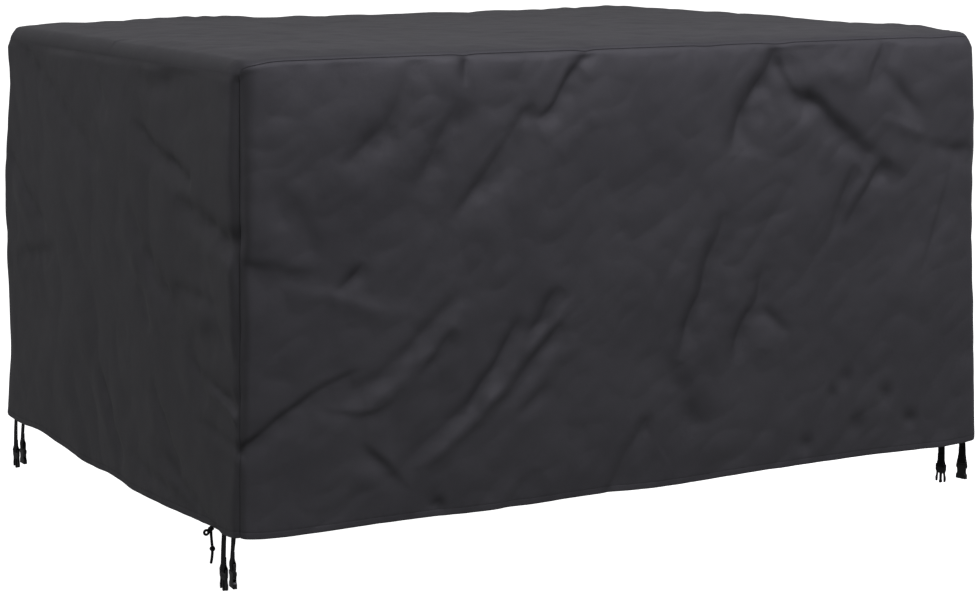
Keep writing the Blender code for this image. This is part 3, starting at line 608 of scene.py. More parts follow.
def wrinkles_depth(panel, along, down):
    seed = 1 + list(CREASES).index(panel)
    right = RIGHT_HAND[panel]
    total = np.zeros_like(along)
    for index, wrinkle in enumerate(LEFT_WRINKLES if panel == "left" else WRINKLES):
        slant = math.radians(wrinkle.slant)
        u, v = right * along, -down
        lengthwise = (u * math.cos(slant) + v * math.sin(slant)) / wrinkle.long
        crosswise = (-u * math.sin(slant) + v * math.cos(slant)) / wrinkle.short
        points = np.stack((lengthwise, crosswise, np.zeros_like(u)), -1)
        waves = noise_field(points, seed + 10 * index)
        total += wrinkle.height / 1000 * (-np.abs(waves) if wrinkle.sharp else waves)
    return total


def corner_depth(place, down, from_corner):
    total = np.zeros_like(down)
    for dent in CORNER_DENTS:
        here = (np.sign(place[..., 0]) == dent.corner[0]) & (np.sign(place[..., 1]) == dent.corner[1])
        level = dent.depth * bell(down - dent.down, dent.half_height)
        total += np.where(here, level * (1 - smooth(0.0, dent.reach, from_corner)), 0)
    return total


def lip(distance, radius):
    """Depth of the round edge where cloth turns in at a seam, at a distance from the seam."""
    inside = np.clip(radius - distance, 0, radius)
    return radius - np.sqrt(radius**2 - inside**2)


def seam_dip(x, distance):
    """How far the front's top seam is drawn down, at a distance from it along the cloth."""
    total = sum(dip.depth * bell(x - dip.at, dip.half_width) for dip in FRONT_DIPS)
    return total * bell(distance, DIP_REACH)


# Grids -------------------------------------------------------------------------

Cells = namedtuple("Cells", "along down")
FINE = {  # how many cells each panel's outer face has
    "front": Cells(384, 186),
    "left": Cells(276, 186),
    "back": Cells(250, 120),
    "right": Cells(180, 120),
    "top": Cells(270, 196),
}
COARSER = 3  # the inner face has one cell for this many by this many of the outer face's
# Grid lines at the edges, closer where the cloth turns: shares of a corner's arc or square, of the top
# round from the seam down, and of the seam allowance, and millimetres above the hem's fold
CORNER_SHARES = (1.0, 0.985, 0.965, 0.94, 0.90, 0.84, 0.76, 0.64, 0.50, 0.34, 0.17)
ROLL_SHARES = (0.0, 0.03, 0.07, 0.12, 0.18, 0.26, 0.37, 0.52, 0.74, 1.0)
TURNED_IN = (1.0, 0.5)
HEM_ROWS = (22, 19, 16.5, 15, 14.2, 13.5, 12.8, 12, 10.5, 8, 5.5, 3.5, 2, 1, 0.4, 0)

HEM_FOLD = 0.0022  # half thickness of the hem's folded edge
HEM_THIN_TO_THICK = (0.020, 0.012)  # heights above the hem between which its full thickness is reached
CASING_BULGE = 0.0001
CASING_BULGE_WIDE = 0.75  # its half width, as a share of half the casing's height
STITCH_DRAW = 0.0003  # how far the casing's stitches draw the cloth in
STITCH_DRAW_REACH = 0.0016
PUCKER = 0.0006
PUCKER_LONG = 0.014
PUCKER_REACH = 0.009


def stations(cells):
    """Grid lines along a side or the top: how far turned in, place along the flat, share of the corner."""
    turned = [(share, 1.0, 1.0) for share in TURNED_IN]
    corner = [(0.0, 1.0, share) for share in CORNER_SHARES]
    flat = [(0.0, 2 * i / cells - 1, 0.0) for i in range(cells + 1)]
    before = [(turn, -place, -share) for turn, place, share in turned + corner]
    return np.array(before + flat + list(reversed(turned + corner)))


def side_grid(panel, cells):
    """The side's plain outer face as grids.

    They are places, facings, distances from the top seam, heights above the hem, and the shares of the seam
    allowance that are turned in at the upright seams and at the top seam.
    """
    turned, fraction, angle = stations(cells.along).T
    angle = angle * math.pi / 4
    side = side_of(panel)
    radius, seam, edge_round = roll_at(side_plan(panel, fraction, angle, 0.0)[0][:, 0])
    hem = hem_down(panel, side_plan(panel, fraction, angle, sizes().height)[0] @ side.along)
    arc = radius * (math.pi / 2 - seam)
    rows = []
    for tucked, share in [(tucked, 0.0) for tucked in TURNED_IN] + [(0.0, share) for share in ROLL_SHARES]:
        turn = seam + SEAM_GAP * edge_round / 2 / radius + (math.pi / 2 - seam) * share
        down = radius * (1 - np.cos(turn))
        place, out = side_plan(panel, fraction, angle, down)
        place = place - out * (radius * (1 - np.sin(turn)))[:, None]
        place[:, 2] = sizes().edge - down + crown(place)
        facing = out * np.sin(turn)[:, None] + UP * np.cos(turn)[:, None]
        rows.append((place, facing, arc * share, hem - down, np.full_like(arc, tucked)))
    flat_end = hem - HEM_ROWS[0] / 1000
    downs = [radius + (flat_end - radius) * (j + 1) / cells.down for j in range(cells.down)]
    downs += [hem - above / 1000 for above in HEM_ROWS[1:]]
    for down in downs:
        place, facing = side_plan(panel, fraction, angle, down)
        place[:, 2] = sizes().edge - down
        rows.append((place, facing, arc + down - radius, hem - down, np.zeros_like(arc)))
    place, facing, from_seam, above_hem, turned_down = (np.array(part) for part in zip(*rows))
    return place, facing, from_seam, above_hem, np.broadcast_to(turned, from_seam.shape), turned_down


def hem_depth(panel, along, above):
    """The casing round the drawcord stands out, and its stitches draw the cloth in."""
    puckers = np.stack((along / PUCKER_LONG, np.zeros_like(along), np.zeros_like(along)), -1)
    pucker = noise_field(puckers, 31 + len(panel))
    stitch = bell(above - sizes().casing, STITCH_DRAW_REACH)
    middle = sizes().casing / 2
    bulge = bell(above - middle, CASING_BULGE_WIDE * middle)
    wave = PUCKER * pucker * bell(above - sizes().casing, PUCKER_REACH)
    return STITCH_DRAW * stitch - CASING_BULGE * bulge + lip(above, HEM_FOLD) + wave


def finished_side(panel, cells):
    """The side with its creases, seams and hem: places, facings, depths, heights above the hem, painted
    shade.
    """
    place, facing, from_top, above, turned_across, turned_down = side_grid(panel, cells)
    side = side_of(panel)
    along, down = place @ side.along, sizes().edge - place[..., 2]
    share = down / sizes().height
    radius = corner_radius(share)
    flat = side.half_length + sizes().flare * (2 * share - 1) - radius
    beyond = np.clip(np.abs(along) - flat, 0, radius)
    from_corner = np.maximum(0, flat - np.abs(along)) + radius * (math.pi / 4 - np.arcsin(beyond / radius))
    from_corner = np.maximum(0, from_corner)
    free = smooth(0.0, CORNER_FADE, from_corner)
    # dark: the creases' painted shade, which darkens the cloth's colour
    creased, dark = creases_depth(panel, along, down)
    depth = (creased + wrinkles_depth(panel, along, down)) * free
    depth += corner_depth(place, down, from_corner)
    depth *= smooth(0.0, SEAM_FADE, from_top)
    shoulder = SHOULDERS[panel] * (1 - np.exp(-from_top / SHOULDER_REACH[panel])) * (1 - share)
    depth -= shoulder * (1 - np.exp(-from_corner / SHOULDER_END))
    gutter = GUTTER * np.exp(-from_corner / GUTTER_REACH)
    if panel in ("left", "right"):
        gutter += UNDERLAP * bell(from_corner, UNDERLAP_REACH)
    gutter *= smooth(0.0, SEAM_FADE, from_top)
    top_lip = lip(from_top, roll_at(place[..., 0]).lip) + turned_down * sizes().allowance
    corner_lip = lip(from_corner, sizes().corner_lip) + turned_across * sizes().allowance
    depth += gutter + np.hypot(top_lip, corner_lip) + hem_depth(panel, along, above)
    place = place - facing * depth[..., None]
    if panel == "front":
        place[..., 2] -= seam_dip(place[..., 0], from_top)
    return place, facing, depth, above, dark


def top_grid():
    """The top's plain outer face as grids: places, facings, distances from the seam, shares turned in."""
    across, along = stations(FINE["top"].along), stations(FINE["top"].down)
    corner = sizes().top_corner
    half = [side / 2 - sizes().flare - corner for side in (sizes().width, sizes().depth)]
    square = np.meshgrid(across[:, 2] * corner, along[:, 2] * corner)
    flat = np.meshgrid(across[:, 1] * half[0], along[:, 1] * half[1])
    turned = np.maximum(*np.meshgrid(across[:, 0], along[:, 0]))
    disc = [square[i] * np.sqrt(1 - square[1 - i] ** 2 / (2 * corner**2)) for i in (0, 1)]
    disc = np.stack(disc, -1)
    place = np.concatenate((np.stack(flat, -1) + disc, np.zeros((*turned.shape, 1))), -1)
    beyond = np.hypot(disc[..., 0], disc[..., 1])
    gaps = np.stack([half[i] - np.abs(place[..., i]) for i in (0, 1)], -1)
    nearest = np.argmin(gaps, -1)
    inwards = np.stack([(nearest == i) * np.sign(place[..., i] + 1e-12) for i in (0, 1)], -1)
    outward = np.where(beyond[..., None] > 0, disc / np.maximum(beyond, 1e-9)[..., None], inwards)
    outward = np.concatenate((outward, np.zeros((*turned.shape, 1))), -1)
    radius, seam, edge_round = roll_at(place[..., 0])
    inset = corner - np.where(beyond > 0, beyond, -gaps.min(-1))
    seam_inset = radius * (1 - np.sin(seam - SEAM_GAP * edge_round / 2 / radius))
    added = seam_inset * np.clip(1 - inset / corner, 0, 1)
    place -= outward * added[..., None]
    inset = inset + added
    turn = np.clip(1 - inset / radius, 0, 1)
    level = np.sqrt(1 - turn**2)
    place[..., 2] = sizes().edge - radius * (1 - level) + crown(place)
    facing = outward * turn[..., None] + UP * level[..., None]
    return place, facing, inset - seam_inset, turned


def finished_top():
    """The top with its creases and seam: places, facings and depths."""
    place, facing, from_seam, turned = top_grid()
    depth = creases_depth("top", place[..., 0], place[..., 1])[0]
    depth += wrinkles_depth("top", place[..., 0], place[..., 1])
    depth *= smooth(0.0, TOP_FADE, from_seam)
    depth += lip(np.maximum(0, from_seam), roll_at(place[..., 0]).lip) + turned * sizes().allowance
    place = place - facing * depth[..., None]
    front = place[..., 1] < 0
    place[..., 2] -= np.where(front, seam_dip(place[..., 0], from_seam), 0)
    return place, facing, depth


def add_piece(name, mesh, material, nodes=()):
    """A finished piece, parented to the root body, with the imported nodes that it stands for hidden."""
    mesh.materials.clear()
    mesh.materials.append(material)
    obj = new_object(name, mesh)
    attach(obj, "root")
    if nodes:
        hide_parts(*nodes)
    return obj


def grid_mesh(name, place, facing, across, down):
    """A mesh of a grid of places, with a UV map in metres along and down the cloth."""
    rows, columns = place.shape[:2]
    shape = bmesh.new()
    bmesh.ops.create_grid(shape, x_segments=columns - 1, y_segments=rows - 1, size=0.5)
    shape.verts.ensure_lookup_table()
    counts = (rows - 1, columns - 1)
    order = [tuple(round((x + 0.5) * n) for x, n in zip(v.co.yx, counts)) for v in shape.verts]
    uv = shape.loops.layers.uv.new("cloth")
    for vert, (j, i) in zip(shape.verts, order):
        vert.co = place[j, i]
        for loop in vert.link_loops:
            loop[uv].uv = (across[j, i], down[j, i])
    shape.normal_update()
    middle = shape.verts[len(shape.verts) // 2]
    if middle.normal.dot(Vector(facing[order[middle.index]])) < 0:
        bmesh.ops.reverse_faces(shape, faces=list(shape.faces))
    mesh = mesh_of(shape, name)
    mesh.shade_smooth()
    return mesh


def around(grid, corner, cells):
    """The entries of a grid round one coarse cell, with all those on the grid's own border."""
    (j0, i0), (j1, i1) = corner, np.minimum(np.array(corner) + cells, np.array(grid.shape) - 1)
    top = range(i0, i1) if j0 == 0 else [i0]
    right = range(j0, j1) if i1 == grid.shape[1] - 1 else [j0]
    bottom = range(i1, i0, -1) if j1 == grid.shape[0] - 1 else [i1]
    left = range(j1, j0, -1) if i0 == 0 else [j1]
    ring = [grid[j0, i] for i in top] + [grid[j, i1] for j in right]
    return ring + [grid[j1, i] for i in bottom] + [grid[j, i0] for j in left]


def sheet_mesh(name, outer, inner, facing, uv, dark=None):
    """A closed sheet between two grids of places. The inner face is coarser, but not at the border."""
    rows, columns = outer.shape[:2]
    near = np.arange(rows * columns).reshape(rows, columns)
    kept = np.zeros((rows, columns), bool)
    kept[::COARSER, ::COARSER] = True
    kept[[0, -1], :] = kept[:, [0, -1]] = True
    far = np.full((rows, columns), -1)
    far[kept] = near.size + np.arange(kept.sum())
    front = np.stack((near[:-1, :-1], near[:-1, 1:], near[1:, 1:], near[1:, :-1]), -1)
    front = front.reshape(-1, 4).tolist()
    starts = [range(0, count - 1, COARSER) for count in (rows, columns)]
    back = [around(far, (j, i), COARSER)[::-1] for j in starts[0] for i in starts[1]]
    rims = [around(grid, (0, 0), max(rows, columns)) for grid in (near, far)]
    border = list(zip(*rims))
    rim = [(b[0], a[0], a[1], b[1]) for a, b in zip(border, border[1:] + border[:1])]
    mesh = bpy.data.meshes.new(name)
    places = np.concatenate((outer.reshape(-1, 3), inner[kept]))
    j, i = rows // 2, columns // 2
    normal = np.cross(outer[j, i + 1] - outer[j, i], outer[j + 1, i] - outer[j, i])
    turn = 1 if normal @ facing[j, i] > 0 else -1
    mesh.from_pydata(places.tolist(), [], [face[::turn] for face in front + back + rim])
    spots = np.zeros(len(mesh.loops), int)
    mesh.loops.foreach_get("vertex_index", spots)
    layer = mesh.uv_layers.new(name="cloth")
    layer.data.foreach_set("uv", np.concatenate((uv.reshape(-1, 2), uv[kept]))[spots].ravel())
    # the creases' painted shade, stored on each point for the cloth's material to darken its colour and
    # shine
    if dark is not None:
        painted_crease_shade = mesh.attributes.new("painted_crease_shade", "FLOAT", "POINT")
        painted_crease_shade.data.foreach_set("value", np.concatenate((dark.ravel(), dark[kept])))
    mesh.shade_smooth()
    mesh.set_sharp_from_angle(angle=math.radians(60))
    return mesh


def deepest(depth, reach):
    """The greatest depth within some cells of each place."""
    for axis in (0, 1):
        ends = [(reach, reach) if k == axis else (0, 0) for k in (0, 1)]
        padded = np.pad(depth, ends, mode="edge")
        count = depth.shape[axis]
        depth = np.max([np.take(padded, range(i, i + count), axis) for i in range(2 * reach + 1)], 0)
    return depth


def add_top():
    place, facing, depth = finished_top()
    uv = place[..., :2]
    inner = place - facing * (deepest(depth, COARSER) - depth + sizes().cloth)[..., None]
    mesh = sheet_mesh("cover_top", place, inner, facing, uv)
    obj = add_piece("cover_top", mesh, cloth_material(), ["panel_top"])


def add_side(panel):
    """A side panel: double at the hem, and its inner face clear of the creases of the outer one."""
    place, facing, depth, above, dark = finished_side(panel, FINE[panel])
    side = side_of(panel)
    uv = np.stack((RIGHT_HAND[panel] * (place @ side.along), place[..., 2]), -1)
    hemmed = (sizes().hem - sizes().cloth) * smooth(*HEM_THIN_TO_THICK, above)
    thick = sizes().cloth + hemmed - 2 * lip(above, HEM_FOLD)
    inner = place - facing * (deepest(depth, COARSER) - depth + thick)[..., None]
    # the creases' painted shade goes onto the mesh with it
    mesh = sheet_mesh(f"cover_{panel}", place, inner, facing, uv, dark)
    obj = add_piece(f"cover_{panel}", mesh, cloth_material(), [f"panel_{panel}"])


# Stitches ----------------------------------------------------------------------


STITCHES_START = 3  # how many grid lines from the upright seams the rows start and end
STITCH_OUT = 0.0001


def stitch_tree():
    """Geometry Nodes: a stitch every pitch along a path of edges, lying on the cloth."""
    tree = bpy.data.node_groups.new("stitch row", "GeometryNodeTree")
    tree.is_modifier = True
    face = tree.interface
    face.new_socket("Path", in_out="INPUT", socket_type="NodeSocketGeometry")
    for name, default in (("Pitch", 0.0036), ("Stitch length", 0.0027), ("Thread", 0.0006)):
        face.new_socket(name, in_out="INPUT", socket_type="NodeSocketFloat").default_value = default
    face.new_socket("Finish", in_out="INPUT", socket_type="NodeSocketMaterial")
    face.new_socket("Stitches", in_out="OUTPUT", socket_type="NodeSocketGeometry")
    add, link = tree.nodes.new, tree.links.new
    inputs = add("NodeGroupInput")
    resample = add("GeometryNodeResampleCurve")
    resample.mode = "LENGTH"
    outward = add("GeometryNodeInputNamedAttribute")
    outward.data_type = "FLOAT_VECTOR"
    outward.inputs["Name"].default_value = "outward"
    lengthwise, upright = (add("FunctionNodeAlignRotationToVector") for _ in range(2))
    lengthwise.axis, upright.axis = "X", "Z"
    upright.pivot_axis = "X"
    bead = add("GeometryNodeMeshUVSphere")
    for name, value in (("Segments", 6), ("Rings", 4), ("Radius", 0.5)):
        bead.inputs[name].default_value = value
    stretch, size = add("GeometryNodeTransform"), add("ShaderNodeCombineXYZ")
    place, finish = add("GeometryNodeInstanceOnPoints"), add("GeometryNodeSetMaterial")
    main_line = [
        inputs,
        add("GeometryNodeMeshToCurve"),
        resample,
        place,
        add("GeometryNodeRealizeInstances"),
        add("GeometryNodeSetShadeSmooth"),
        finish,
        add("NodeGroupOutput"),
    ]
    for start, end in zip(main_line, main_line[1:]):
        link(start.outputs[0], end.inputs[0])
    for start, socket, end, target in (
        (inputs, "Pitch", resample, "Length"),
        (inputs, "Stitch length", size, "X"),
        (inputs, "Thread", size, "Y"),
        (inputs, "Thread", size, "Z"),
        (inputs, "Finish", finish, "Material"),
        (add("GeometryNodeInputTangent"), "Tangent", lengthwise, "Vector"),
        (lengthwise, "Rotation", upright, "Rotation"),
        (outward, "Attribute", upright, "Vector"),
        (upright, "Rotation", place, "Rotation"),
        (bead, "Mesh", stretch, "Geometry"),
        (size, "Vector", stretch, "Scale"),
        (stretch, "Geometry", place, "Instance"),
    ):
        link(start.outputs[socket], end.inputs[target])
    return tree


def add_stitches(name, places, facings, material, slot):
    """A plain mesh of stitches along a line of places, with the way the cloth faces there."""
    shape = bmesh.new()
    layer = shape.verts.layers.float_vector.new("outward")
    verts = [shape.verts.new(place) for place in places]
    for vert, facing in zip(verts, facings):
        vert[layer] = facing
    for pair in zip(verts, verts[1:]):
        shape.edges.new(pair)
    path = new_object(name + "_path", mesh_of(shape, name))
    modifier = path.modifiers.new("stitches", "NODES")
    modifier.node_group = bpy.data.node_groups.get("stitch row") or stitch_tree()
    for item in modifier.node_group.interface.items_tree:
        if item.in_out == "INPUT" and item.name == "Finish":
            modifier[item.identifier] = material
    add_piece(name, plain_mesh(path), material)


def hem_line(panel):
    """Places just outside the cloth along the casing's stitch line, and the way the cloth faces there."""
    place, facing, _, above, _ = finished_side(panel, FINE[panel]._replace(down=1))
    row = int(np.argmin(np.abs(above[:, above.shape[1] // 2] - sizes().casing)))
    from_end = len(TURNED_IN) + STITCHES_START
    inner = slice(from_end, -from_end)
    return place[row, inner] + STITCH_OUT * facing[row, inner], facing[row, inner]


# Straps and buckles ------------------------------------------------------------

# Each strap's and buckle's own frame has X across, Z up from the buckle's top and -Y out of the cover.
# `hang` is how far the buckle's top is below the hem, and `turn` is how far it has swung round, in degrees.
Strap = namedtuple("Strap", "name panel hang half turn")
STRAPS = (
    Strap("near_left_female", "left", 0.050, "female", -6),
    Strap("near_left_male", "left", 0.071, "male", 3),
    Strap("far_left_female", "left", 0.052, "female", 1),
    Strap("far_left_male", "left", 0.076, "male", 5),
    Strap("near_right_female", "right", 0.056, "female", 11),
    Strap("near_right_male", "right", 0.082, "male", 12),
    Strap("far_right_female", "right", 0.050, "female", 4),
    Strap("far_right_male", "right", 0.068, "male", 4),
)
STRAP_OUT = 0.0040  # the buckles hang this much further out than as packed, straight below the hem

# The bar that the strap goes round, and the slot below it
Bar = namedtuple("Bar", "bottom thick slot_bottom")
BARS = {"male": Bar(-0.0045, 0.0055, -0.0072), "female": Bar(-0.0100, 0.0044, -0.0130)}
BUCKLE_WIDTH = 0.027
MALE_LONG = 0.044
FEMALE_LONG = 0.048
FEMALE_THICK = 0.0080
FEMALE_NECK = 0.0155
SLOT_WIDTH = 0.0201
SOCKET = (0.0220, 0.0058, 0.0300)  # width, thickness and depth
STRAP_SEWN = 0.025  # length behind the hem
STRAP_RETURN = 0.014  # length of the end behind the strap
STRAP_BEHIND = 0.0020  # the hem's folds push the straps in by this much
STRAP_SPLIT = 0.010  # above the buckle, where the strap's two layers part to go round the bar
STRAP_CLEAR = 0.0005
STRAP_BOWS = 0.62  # height of its bow, as a share of `hang`
STRAP_TURNS = (0.004, 0.35)  # it turns from this far above the hem down to this share of `hang`
LAYER_GAP = 0.0001  # from a strap's middle to each of its two layers
UNDER_BAR = 0.5  # angle at which the strap's turn under the bar starts
BAR_LIFT = 0.0012  # how much higher than a round turn the strap is at the bar's sides
STRAP_SHARES = (-0.5, -0.46, -0.25, 0.0, 0.25, 0.46, 0.5)  # grid lines across the webbing
EDGE_ROUND = 0.0007
CUT_PAST = 0.001  # how far a cutter stands past the face that it cuts


def strap_frame(strap):
    """The strap's own frame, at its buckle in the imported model."""
    low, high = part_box(f"buckle_{strap.name}")
    side = side_of(strap.panel)
    outward = Vector(side.outward)
    axes = Matrix(((-outward).cross(Vector(UP)), -outward, Vector(UP))).transposed().to_4x4()
    middle = (low + high) / 2 + STRAP_OUT * outward
    return Matrix.Translation((middle.x, middle.y, high.z)) @ axes


def strap_line(strap):
    """A strap's centre line as (Y, Z): down from the hem, round the bar and back up behind itself."""
    bar = BARS[strap.half]
    thick = sizes().webbing_thick
    reach = bar.thick / 2 + STRAP_CLEAR + thick / 2
    low = bar.bottom - STRAP_CLEAR - thick / 2
    beside = thick / 2 + LAYER_GAP
    hang = strap.hang
    behind = STRAP_OUT - reach + STRAP_BEHIND
    hem = [(behind, hang + STRAP_SEWN), (behind, hang), ((behind - beside) / 2, hang * STRAP_BOWS)]
    rise = [(reach, -0.0006), (beside + 0.0004, STRAP_SPLIT - 0.002), (beside, STRAP_SPLIT + 0.003)]
    down = [(-y, z) for y, z in reversed(rise)]
    turns = np.linspace(UNDER_BAR, math.pi - UNDER_BAR, 7)
    under = [(-reach * math.cos(t), low + BAR_LIFT * (1 - math.sin(t)) ** 2) for t in turns]
    end = [(beside, STRAP_SPLIT + STRAP_RETURN * share) for share in (0.6, 1.0)]
    return curve_through(hem + down + under + rise + end, steps=4)


def placed(mesh, place):
    mesh.transform(place)
    mesh.update()
    return mesh


def add_strap(strap):
    """A strap that hangs from the hem and turns with its buckle on the way down."""
    line = strap_line(strap)
    width = sizes().webbing
    steps = np.r_[0, np.cumsum(np.hypot(*np.diff(line, axis=0).T))]
    start, stop = strap.hang + STRAP_TURNS[0], strap.hang * STRAP_TURNS[1]
    turned = math.radians(strap.turn) * smooth(start, stop, line[:, 1])
    across, along = np.meshgrid(np.array(STRAP_SHARES) * width, steps)
    y, z, turn = (np.broadcast_to(row[:, None], across.shape) for row in (*line.T, turned))
    x, y = across * np.cos(turn) - y * np.sin(turn), across * np.sin(turn) + y * np.cos(turn)
    place = np.stack((x, y, z), -1)
    facing = np.broadcast_to((0.0, -1.0, 0.0), place.shape)
    name = f"webbing_{strap.name}"
    mesh = placed(grid_mesh(name, place, facing, across, along), strap_frame(strap))
    obj = add_piece(name, mesh, webbing_material(), [f"strap_{strap.name}"])
    wall = obj.modifiers.new("thickness", "SOLIDIFY")
    wall.thickness = sizes().webbing_thick
    wall.offset = 0.0


def arc(x, z, radius, first, last, steps):
    """Points of an arc round a centre, between two angles in degrees."""
    turns = np.radians(np.linspace(first, last, steps + 1))
    return [(x + radius * math.cos(turn), z + radius * math.sin(turn)) for turn in turns]


def plate_mesh(name, outlines, thickness, edge=EDGE_ROUND):
    """Flat outlines with holes, extruded in Y, with round edges."""
    curve = bpy.data.curves.new(name, "CURVE")
    curve.dimensions = "2D"
    curve.fill_mode = "BOTH"
    curve.extrude = thickness / 2 - edge
    curve.bevel_depth = edge
    curve.bevel_resolution = 2
    curve.offset = -edge
    for outline in outlines:
        spline = curve.splines.new("POLY")
        spline.points.add(len(outline) - 1)
        for point, (x, z) in zip(spline.points, outline):
            point.co = (x, z, 0, 1)
        spline.use_cyclic_u = True
    shape = bmesh.new()
    shape.from_mesh(plain_mesh(new_object(name, curve)))
    bmesh.ops.remove_doubles(shape, verts=list(shape.verts), dist=1e-5)
    upright = Matrix.Rotation(math.pi / 2, 3, "X")
    bmesh.ops.rotate(shape, verts=list(shape.verts), cent=(0, 0, 0), matrix=upright)
    bmesh.ops.recalc_face_normals(shape, faces=list(shape.faces))
    return mesh_of(shape, name)


def slot_outline(bar):
    half = SLOT_WIDTH / 2
    return [(-half, bar.slot_bottom), (half, bar.slot_bottom), (half, bar.bottom), (-half, bar.bottom)]


def both_halves(half, middle=()):
    """An outline's right half, from the top down, with its mirror image."""
    return [*half, *middle, *((-x, z) for x, z in reversed(half))]


def male_outline():
    """Ears and body, two side prongs that bow outwards, and a longer middle prong with a round end."""
    wide = BUCKLE_WIDTH / 2
    root = -0.0210
    ball = 0.0033
    prong_out = [(0.0112, -0.0215), (0.0116, -0.0250), (0.0128, -0.0290)]
    prong_out += [(wide, -0.0325), (0.0132, -0.0370)]
    prong_in = [(0.0095, -0.0350), (0.0092, -0.0290), (0.0082, root - 0.0010)]
    half = [
        *arc(wide - 0.0015, -0.0015, 0.0015, 90, 0, 4),
        *((wide, -0.0140), (0.0122, -0.0165), (0.0112, -0.0190)),
        *curve_through(prong_out, 3),
        *arc(0.0113, -0.0395, 0.0016, 0, -180, 6),
        *curve_through(prong_in, 3),
        *((0.0074, root - 0.0002), (0.0042, root), (0.0024, root - 0.0010), (0.0021, -0.0360)),
        *arc(0.0, ball - MALE_LONG, ball, 20, -90, 7)[:-1],
    ]
    return both_halves(half, [(0.0, -MALE_LONG)])


def female_outline():
    """A tapered neck, a wide frame, a waist where the side prongs show, and a wide mouth."""
    wide = BUCKLE_WIDTH / 2
    waist = [(wide, -0.0215), (0.0122, -0.0232), (0.0107, -0.0260), (0.0104, -0.0300)]
    waist += [(0.0107, -0.0345), (wide - 0.0006, -0.0378)]
    half = [
        *arc(0.0093, -0.0012, 0.0012, 90, 10, 4),
        *((0.0112, -0.0030), (wide, -0.0120)),
        *curve_through(waist, 3),
        (wide, -0.0390),
        *arc(wide - 0.0014, 0.0014 - FEMALE_LONG, 0.0014, 0, -90, 4),
    ]
    return both_halves(half)


def boxed(name, size, centre):
    shape = bmesh.new()
    bmesh.ops.create_cube(shape, size=1.0)
    bmesh.ops.scale(shape, verts=list(shape.verts), vec=size)
    bmesh.ops.translate(shape, verts=list(shape.verts), vec=centre)
    return mesh_of(shape, name)


def combined(mesh, others, operation):
    """A mesh with others joined to it or cut from it."""
    obj = new_object("combined", mesh)
    helpers = [new_object("helper", other) for other in others]
    for helper in helpers:
        modifier = obj.modifiers.new("combine", "BOOLEAN")
        modifier.operation = operation
        modifier.object = helper
    made = plain_mesh(obj)
    for helper in helpers:
        bpy.data.objects.remove(helper)
    return made


def male_mesh():
    """The male half: body with grip ribs, a raised spine on the middle prong, and the strap's slot."""
    bar = BARS["male"]
    mesh = plate_mesh("male half", [male_outline(), slot_outline(bar)], bar.thick)
    raised = bar.thick + 0.0007
    ribs = [boxed("rib", (0.0150, raised, 0.0008), (0, 0, -0.0125 - 0.0020 * i)) for i in range(3)]
    spine = boxed("spine", (0.0020, raised, 0.0170), (0, 0, -0.0300))
    return combined(mesh, [*ribs, spine], "UNION")


def female_mesh():
    """The female half: a thin neck round the strap's bar, and a thick body with an open socket."""
    bar = BARS["female"]
    mesh = plate_mesh("female half", [female_outline(), slot_outline(bar)], FEMALE_THICK, edge=0.0010)
    width, thick, deep = SOCKET
    centre = (0, 0, -FEMALE_LONG + deep / 2 - CUT_PAST)
    cutters = [boxed("socket", (width, thick, deep + 2 * CUT_PAST), centre)]
    trim = (FEMALE_THICK - bar.thick) / 2
    for face in (-1, 1):
        centre = (0, face * (FEMALE_THICK / 2 - trim / 2 + CUT_PAST), CUT_PAST - FEMALE_NECK / 2)
        size = (2 * BUCKLE_WIDTH, trim + 2 * CUT_PAST, FEMALE_NECK + 2 * CUT_PAST)
        cutters.append(boxed("neck", size, centre))
    return combined(mesh, cutters, "DIFFERENCE")


def add_buckles():
    made = {"male": male_mesh(), "female": female_mesh()}
    for strap in STRAPS:
        name = f"{strap.half}_half_{strap.name}"
        mesh = made[strap.half].copy()
        mesh.name = name
        placed(mesh, strap_frame(strap) @ Matrix.Rotation(math.radians(strap.turn), 4, "Z"))
        mesh.shade_smooth()
        mesh.set_sharp_from_angle(angle=math.radians(35))
        add_piece(name, mesh, plastic_material(), [f"buckle_{strap.name}"])


# Drawcord ----------------------------------------------------------------------


KNOT_HALF_WIDE = 2.74  # the plain knot line's own half sizes, and how far its middle is below its zero
KNOT_HALF_HIGH = 2.53
KNOT_OFF_MIDDLE = 0.47
KNOT_LOOSE = 1.06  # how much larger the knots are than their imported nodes
LOOP_PRESSED = 0.9  # how much thinner the cord is in its tight loop
END_ROUND = 0.45  # how far a cord's end stands out, in radii


def tube_mesh(name, points, radius, closed=False, sides=12):
    """A round tube along points, with a UV map of length along and share around."""
    points = np.array(points)
    count = len(points)
    ahead = np.roll(points, -1, 0) - np.roll(points, 1, 0) if closed else np.gradient(points, axis=0)
    ahead /= np.linalg.norm(ahead, axis=1)[:, None]
    normal = np.cross(ahead[0], (0.3, 0.9, 0.2))
    shape = bmesh.new()
    uv = shape.loops.layers.uv.new("cord")
    rings = []
    for place, way in zip(points, ahead):
        normal = normal - way * (normal @ way)
        normal /= np.linalg.norm(normal)
        side = np.cross(way, normal)
        turns = [2 * math.pi * k / sides for k in range(sides)]
        ring = [place + radius * (normal * math.cos(t) + side * math.sin(t)) for t in turns]
        rings.append([shape.verts.new(spot) for spot in ring])
    lengths = line_length(points, closed=True)
    for j in range(count if closed else count - 1):
        for k in range(sides):
            spots = ((j, k), (j, k + 1), (j + 1, k + 1), (j + 1, k))
            face = shape.faces.new([rings[a % count][b % sides] for a, b in spots])
            for loop, (a, b) in zip(face.loops, spots):
                loop[uv].uv = (lengths[a], b / sides)
    if not closed:
        for ring, place, way in ((rings[0], points[0], -ahead[0]), (rings[-1], points[-1], ahead[-1])):
            tip = shape.verts.new(place + way * radius * END_ROUND)
            for k in range(sides):
                shape.faces.new((ring[k], ring[(k + 1) % sides], tip))
    bmesh.ops.recalc_face_normals(shape, faces=list(shape.faces))
    mesh = mesh_of(shape, name)
    mesh.shade_smooth()
    return mesh


